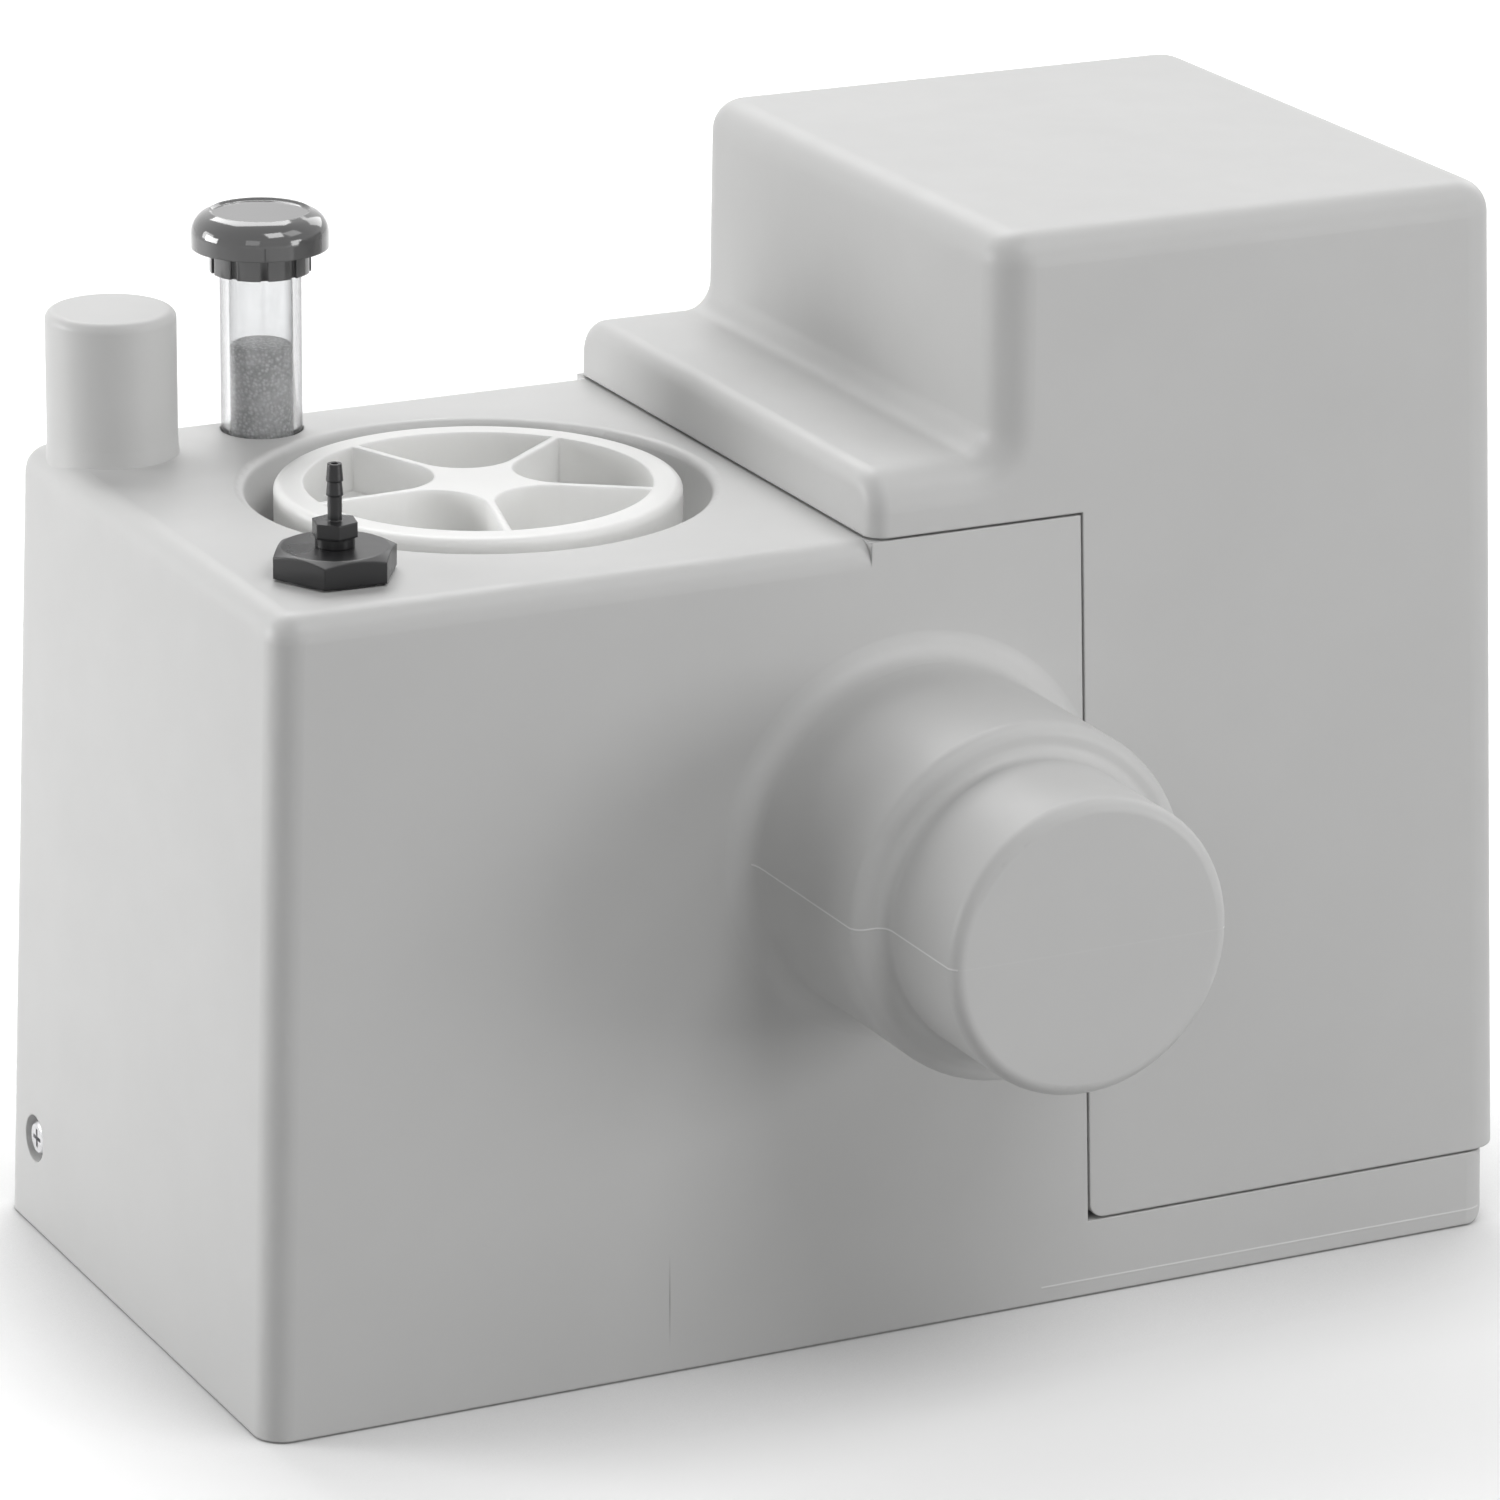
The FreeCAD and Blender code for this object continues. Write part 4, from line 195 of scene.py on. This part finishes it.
class Surface(Tree):
    """One material, built on the object's own coordinates."""

    def __init__(self, name):
        self.name = name
        self.material = bpy.data.materials.new(name)
        self.material.use_nodes = True
        super().__init__(self.material.node_tree)
        self.shader = self.tree.nodes["Principled BSDF"]
        self.coordinates = self.add("ShaderNodeTexCoord").outputs["Object"]

    def stretched(self, x, y, z):
        """The coordinates, scaled along each axis by its own amount."""
        node = self.add("ShaderNodeMapping")
        node.inputs["Scale"].default_value = (x, y, z)
        self.link(self.coordinates, node.inputs["Vector"])
        return node.outputs["Vector"]

    def noise(self, scale, detail=2.0, rough=0.5, source=None):
        node = self.add("ShaderNodeTexNoise")
        node.inputs["Scale"].default_value = scale
        node.inputs["Detail"].default_value = detail
        node.inputs["Roughness"].default_value = rough
        self.link(source or self.coordinates, node.inputs["Vector"])
        return node.outputs["Fac"]

    def grains(self, scale):
        """The distance from the middle of the nearest grain."""
        node = self.add("ShaderNodeTexVoronoi")
        node.inputs["Scale"].default_value = scale
        self.link(self.coordinates, node.inputs["Vector"])
        return node.outputs["Distance"]

    def wave(self, scale, distortion, **settings):
        """Bands or rings that repeat."""
        node = self.add("ShaderNodeTexWave", **settings)
        node.inputs["Scale"].default_value = scale
        node.inputs["Distortion"].default_value = distortion
        self.link(self.coordinates, node.inputs["Vector"])
        return node.outputs["Fac"]

    def ramp(self, fac, stops):
        """A colour ramp between two stops, each a place with a grey or a colour."""
        node = self.add("ShaderNodeValToRGB")
        for element, (position, colour) in zip(node.color_ramp.elements, stops):
            channels = colour if isinstance(colour, tuple) else (colour, colour, colour)
            element.position = position
            element.color = (*channels, 1.0)
        self.link(fac, node.inputs["Fac"])
        return node.outputs["Color"]

    def shades(self, fac, colour, dark, light, start=0.3, end=0.7):
        """The colour, from a darker to a lighter shade of it."""
        return self.ramp(fac, [(start, scaled(colour, dark)), (end, scaled(colour, light))])

    def mix(self, fac, first, second, blend="MIX"):
        node = self.add("ShaderNodeMix", data_type="RGBA", blend_type=blend)
        self.feed(node.inputs["Factor"], fac)
        self.feed(node.inputs["A"], first)
        self.feed(node.inputs["B"], second)
        return node.outputs["Result"]

    def bump(self, height, rise, strength=0.5, normal=None):
        """A normal that follows the height, whose full rise is in millimetres, on top of another
        normal where one is given."""
        node = self.add("ShaderNodeBump")
        node.inputs["Strength"].default_value = strength
        node.inputs["Distance"].default_value = rise * MM
        self.link(height, node.inputs["Height"])
        if normal:
            self.link(normal, node.inputs["Normal"])
        return node.outputs["Normal"]

    def soft_edges(self, radius):
        """A normal that rounds sharp edges by the radius in millimetres, as on moulded pieces."""
        node = self.add("ShaderNodeBevel", samples=EDGE_SAMPLES)
        node.inputs["Radius"].default_value = radius * MM
        return node.outputs["Normal"]

    def set(self, **values):
        """Puts plain values on the shader's sockets, with spaces for the underscores."""
        for key, value in values.items():
            self.shader.inputs[key.replace("_", " ")].default_value = value

    def colour(self, source):
        self.link(source, self.shader.inputs["Base Color"])

    def roughness(self, fac, low, high, start=0.3, end=0.7):
        """The roughness, from low to high."""
        self.link(self.ramp(fac, [(start, low), (end, high)]), self.shader.inputs["Roughness"])

    def normal(self, source):
        self.link(source, self.shader.inputs["Normal"])


def moulded_plastic(name, colour, rough, mottle=0.012, grain=0.02, soft=0.8, shine=0.5, marks=None):
    """Moulded plastic: a faint cloudiness, a fine skin, slightly uneven gloss and soft edges."""
    made = Surface(name)
    cloud = made.noise(CLOUD_SCALE, detail=3.0, rough=0.6)
    tint = made.shades(cloud, colour, 1.0 - mottle, 1.0 + mottle, start=0.35, end=0.65)
    skin = made.noise(SKIN_SCALE)
    wave = made.noise(WAVE_SCALE)
    height = made.math("MULTIPLY_ADD", wave, WAVE_HEIGHT, skin)
    made.roughness(wave, rough - GLOSS_SPREAD, rough + GLOSS_SPREAD)
    normal = made.bump(height, grain, normal=made.soft_edges(soft))
    if marks:
        tint, normal = marks(made, tint, normal)
    made.colour(tint)
    made.normal(normal)
    made.set(Specular_IOR_Level=shine)
    return made


def mould_marks(made, tint, normal):
    """Faint ridges where the mould's halves met, along the stub and low on the front, raised by a
    bump and painted pale as a painted highlight, and one fine upright line near the front's foot."""
    split = made.add("ShaderNodeSeparateXYZ")
    made.link(made.coordinates, split.inputs[0])
    x, y, z = split.outputs

    def line_at(along, level, half_width):
        """One on the level, and zero from the half width on, both in millimetres."""
        away = made.math("ABSOLUTE", made.math("SUBTRACT", along, level * MM))
        inwards = made.math("SUBTRACT", 1.0, made.math("DIVIDE", away, half_width * MM))
        return made.math("MAXIMUM", inwards, 0.0)

    # The stub's ridge and its painted highlight are strong on its darker side and faint on its end.
    on_stub = made.math("LESS_THAN", y, -STUB_ROOT * MM)
    on_side = made.math("GREATER_THAN", y, -STUB_END * MM)
    share = made.math("MULTIPLY_ADD", on_side, STUB_SIDE_SHARE, STUB_END_SHARE)
    stub_ridge_and_highlight = made.math("MULTIPLY", line_at(z, STUB_Z, STUB_RIDGE_HALF), on_stub)
    stub_ridge_and_highlight = made.math("MULTIPLY", stub_ridge_and_highlight, share)

    on_front = made.math("LESS_THAN", y, -FRONT_FACE * MM)
    on_right = made.math("GREATER_THAN", x, RIDGE_START * MM)
    front_ridge_and_highlight = made.math("MULTIPLY", line_at(z, RIDGE_Z, FRONT_RIDGE_HALF), on_front)
    front_ridge_and_highlight = made.math("MULTIPLY", front_ridge_and_highlight, on_right)
    front_ridge_and_highlight = made.math("MULTIPLY", front_ridge_and_highlight, FRONT_RIDGE_SHARE)
    ridge_and_highlight = made.math("MAXIMUM", stub_ridge_and_highlight, front_ridge_and_highlight)

    middle = (MARK_LOW + MARK_HIGH) / 2
    upright = line_at(z, middle, MARK_HIGH - middle)
    mark = made.math("MULTIPLY", line_at(x, MARK_X, MARK_HALF), upright)
    mark = made.math("MULTIPLY", made.math("MULTIPLY", mark, on_front), MARK_SHARE)

    # The ridges are painted pale, a painted highlight; the bump below raises them for real.
    tint = made.mix(mark, made.mix(ridge_and_highlight, tint, RIDGE_HIGHLIGHT_COLOUR), MARK_COLOUR)
    return tint, made.bump(ridge_and_highlight, RIDGE_HEIGHT, normal=normal)


def milky_plastic(name, colour):
    """Unfilled plastic, in which light goes a few millimetres deep and fills the hollows."""
    made = moulded_plastic(name, colour, 0.38, soft=1.4)
    made.set(Subsurface_Weight=0.7, Subsurface_Radius=(1.0, 1.0, 1.0), Subsurface_Scale=6.0 * MM)
    return made


def polished_black(name, colour):
    """Black plastic with a hard shine, as on the vent's cap."""
    made = moulded_plastic(name, colour, 0.08, mottle=0.2, grain=0.004)
    made.set(Coat_Weight=0.8, Coat_Roughness=0.06)
    return made


def rubber(name, colour):
    """Dull rubber with a little dust."""
    made = Surface(name)
    dust = made.noise(300.0, detail=4.0, rough=0.6)
    made.colour(made.shades(dust, colour, 0.8, 1.4, end=0.75))
    made.roughness(dust, 0.55, 0.75)
    made.normal(made.bump(made.noise(1500.0), 0.02))
    return made


def metal(name, colour, rough):
    """Machined metal with fine lines from the tool, which run round the upright axis."""
    made = Surface(name)
    lines = made.noise(220.0, detail=3.0, rough=0.6, source=made.stretched(1.0, 1.0, 40.0))
    made.colour(made.shades(lines, colour, 0.88, 1.06))
    made.roughness(lines, rough - 0.06, rough + 0.08)
    made.normal(made.bump(lines, 0.01, strength=0.3))
    made.set(Metallic=1.0)
    return made


def cast_metal(name, colour):
    """Cast metal with the grain of its sand mould."""
    made = Surface(name)
    sand = made.noise(700.0, detail=4.0, rough=0.7)
    made.colour(made.shades(sand, colour, 0.8, 1.1))
    made.roughness(sand, 0.45, 0.65)
    made.normal(made.bump(sand, 0.06, strength=0.6))
    made.set(Metallic=0.9)
    return made


def laminations(name):
    """Stacked sheet steel, whose edges show as fine lines up the stack."""
    made = Surface(name)
    sheets = made.wave(320.0, 0.4, wave_type="BANDS", bands_direction="Z")
    made.colour(made.ramp(sheets, [(0.2, 0.06), (0.8, 0.24)]))
    made.normal(made.bump(sheets, 0.1))
    made.set(Metallic=0.8, Roughness=0.45)
    return made


def copper_windings(name):
    """Varnished copper wire wound in bundles."""
    made = Surface(name)
    turns = made.wave(260.0, 3.0, wave_type="RINGS", rings_direction="Z")
    made.colour(made.ramp(turns, [(0.1, (0.12, 0.035, 0.01)), (0.7, (0.48, 0.17, 0.05))]))
    made.normal(made.bump(turns, 0.2, strength=0.7))
    made.set(Roughness=0.35, Coat_Weight=0.6)
    return made


def clear_plastic(name):
    """Clear tube, whose colour is painted dark where its wall is seen edge on, a painted shade for
    its dark outline.
    """
    made = Surface(name)
    haze = made.noise(180.0, detail=3.0, rough=0.6)
    body = made.ramp(haze, [(0.3, (0.82, 0.825, 0.83)), (0.7, (0.86, 0.865, 0.87))])
    facing = made.add("ShaderNodeLayerWeight")
    facing.inputs["Blend"].default_value = 0.5
    # The dark edge colour is painted shade, standing in for the outline that the glass would show.
    painted_edge_shade = made.ramp(facing.outputs["Facing"], [(0.32, 0.0), (0.76, 1.0)])
    made.colour(made.mix(painted_edge_shade, body, (0.14, 0.14, 0.145)))
    made.roughness(haze, 0.03, 0.1, start=0.35, end=0.75)
    made.set(Transmission_Weight=1.0, IOR=1.46)
    return made


def carbon(name):
    """Fine granules of active carbon, paler where they are dusty."""
    made = Surface(name)
    granules = made.grains(900.0)
    dust = made.noise(90.0, detail=3.0, rough=0.6)
    body = made.ramp(granules, [(0.0, 0.88), (0.6, 0.47)])
    made.colour(made.mix(made.ramp(dust, [(0.4, 0.0), (0.7, 0.6)]), body, (0.84, 0.84, 0.84)))
    made.normal(made.bump(granules, 0.6, strength=0.8))
    made.set(Roughness=0.85)
    return made


MATERIALS = {
    made.name: made
    for made in (
        moulded_plastic("tank_plastic", (0.615, 0.615, 0.61), 0.45, shine=0.35, marks=mould_marks),
        moulded_plastic("hood_plastic", (0.605, 0.605, 0.6), 0.46, shine=0.35),
        milky_plastic("lid_plastic", (0.82, 0.82, 0.81)),
        clear_plastic("clear_plastic"),
        polished_black("black_gloss", (0.085, 0.085, 0.086)),
        moulded_plastic("black_plastic", (0.02, 0.02, 0.021), 0.4, mottle=0.2),
        carbon("carbon"),
        rubber("rubber", (0.02, 0.02, 0.021)),
        rubber("pale_rubber", (0.4, 0.4, 0.39)),
        metal("stainless", (0.62, 0.62, 0.63), 0.28),
        metal("brass", (0.72, 0.5, 0.22), 0.3),
        moulded_plastic("casing_plastic", (0.05, 0.052, 0.055), 0.5, mottle=0.12, grain=0.05),
        moulded_plastic("ceramic_dark", (0.03, 0.03, 0.032), 0.2, mottle=0.1),
        moulded_plastic("ceramic_pale", (0.75, 0.73, 0.68), 0.2, mottle=0.03),
        cast_metal("cast_alloy", (0.55, 0.56, 0.57)),
        laminations("laminations"),
        copper_windings("enamelled_copper"),
        metal("bearing_steel", (0.7, 0.7, 0.72), 0.12),
        metal("zinc_steel", (0.6, 0.61, 0.58), 0.32),
        moulded_plastic("capacitor_plastic", (0.72, 0.72, 0.7), 0.35),
        moulded_plastic("terminal_plastic", (0.7, 0.66, 0.52), 0.45),
        moulded_plastic("switch_plastic", (0.02, 0.02, 0.02), 0.5, mottle=0.15),
    )
}

# The plug and its barb are of a duller and darker black than the vent's cap.
DULL_BLACK = moulded_plastic("dull_black", (0.014, 0.014, 0.015), 0.3, mottle=0.2,
                             grain=0.006, shine=0.4)
NODE_MATERIALS = {"barb_plug": DULL_BLACK, "hose_barb": DULL_BLACK}


def dress_nodes():
    """Each node takes its own material where it has one, or else the one that its slot names."""
    for entry in frame["record"]["subparts"]:
        node = nodes[entry["node"]]
        made = NODE_MATERIALS.get(entry["node"], MATERIALS[entry["material_slot"]])
        for holder in node.material_slots:
            holder.material = made.material


def studio_floor():
    """A pale floor that keeps the object's soft shadow, with a painted shade added near the object,
    and turns white further away.
    """
    place = (0.0, 0.0, -FLOOR_GAP)
    bpy.ops.mesh.primitive_plane_add(size=FLOOR_SIZE, location=place)
    floor = bpy.context.object
    floor.name = "studio_floor"
    made = Surface("studio_floor")
    shown = made.shown()
    # Ambient occlusion darkens the floor's colour and glow near the object, a painted shade.
    near = made.add("ShaderNodeAmbientOcclusion", samples=SHADE_SAMPLES)
    near.inputs["Distance"].default_value = SHADE_REACH
    painted_shade = made.math("MULTIPLY_ADD", near.outputs["AO"], SHADE_DEPTH, 1.0 - SHADE_DEPTH)
    paper = made.ramp(made.noise(3.0), [(0.3, 0.89), (0.7, 0.91)])
    paper = made.mix(1.0, paper, painted_shade, blend="MULTIPLY")
    made.colour(made.mix(shown, FLOOR_HIDDEN, paper))
    away = made.add("ShaderNodeVectorMath", operation="LENGTH")
    made.link(made.coordinates, away.inputs[0])
    glow = made.ranged(away.outputs["Value"], GLOW_NEAR, GLOW_FAR, GLOW_START, GLOW_END)
    glow = made.math("MULTIPLY", made.math("MULTIPLY", shown, glow), painted_shade)
    made.link(glow, made.shader.inputs["Emission Strength"])
    made.set(Roughness=0.7, Emission_Color=WHITE)
    floor.data.materials.append(made.material)


def surround():
    """A white world for the rays that show it, which lights the object only a little."""
    world = bpy.data.worlds.new("surround")
    scene.world = world
    world.use_nodes = True
    made = Tree(world.node_tree)
    background = world.node_tree.nodes["Background"]
    background.inputs["Color"].default_value = WHITE
    strength = made.ranged(made.shown(), SURROUND_LIGHT, SURROUND_SHOWN)
    made.link(strength, background.inputs["Strength"])


camera()
studio_floor()
surround()
for row in SOFT_BOXES:
    soft_box(*row)
scene.view_settings.view_transform = "Standard"
dress_nodes()
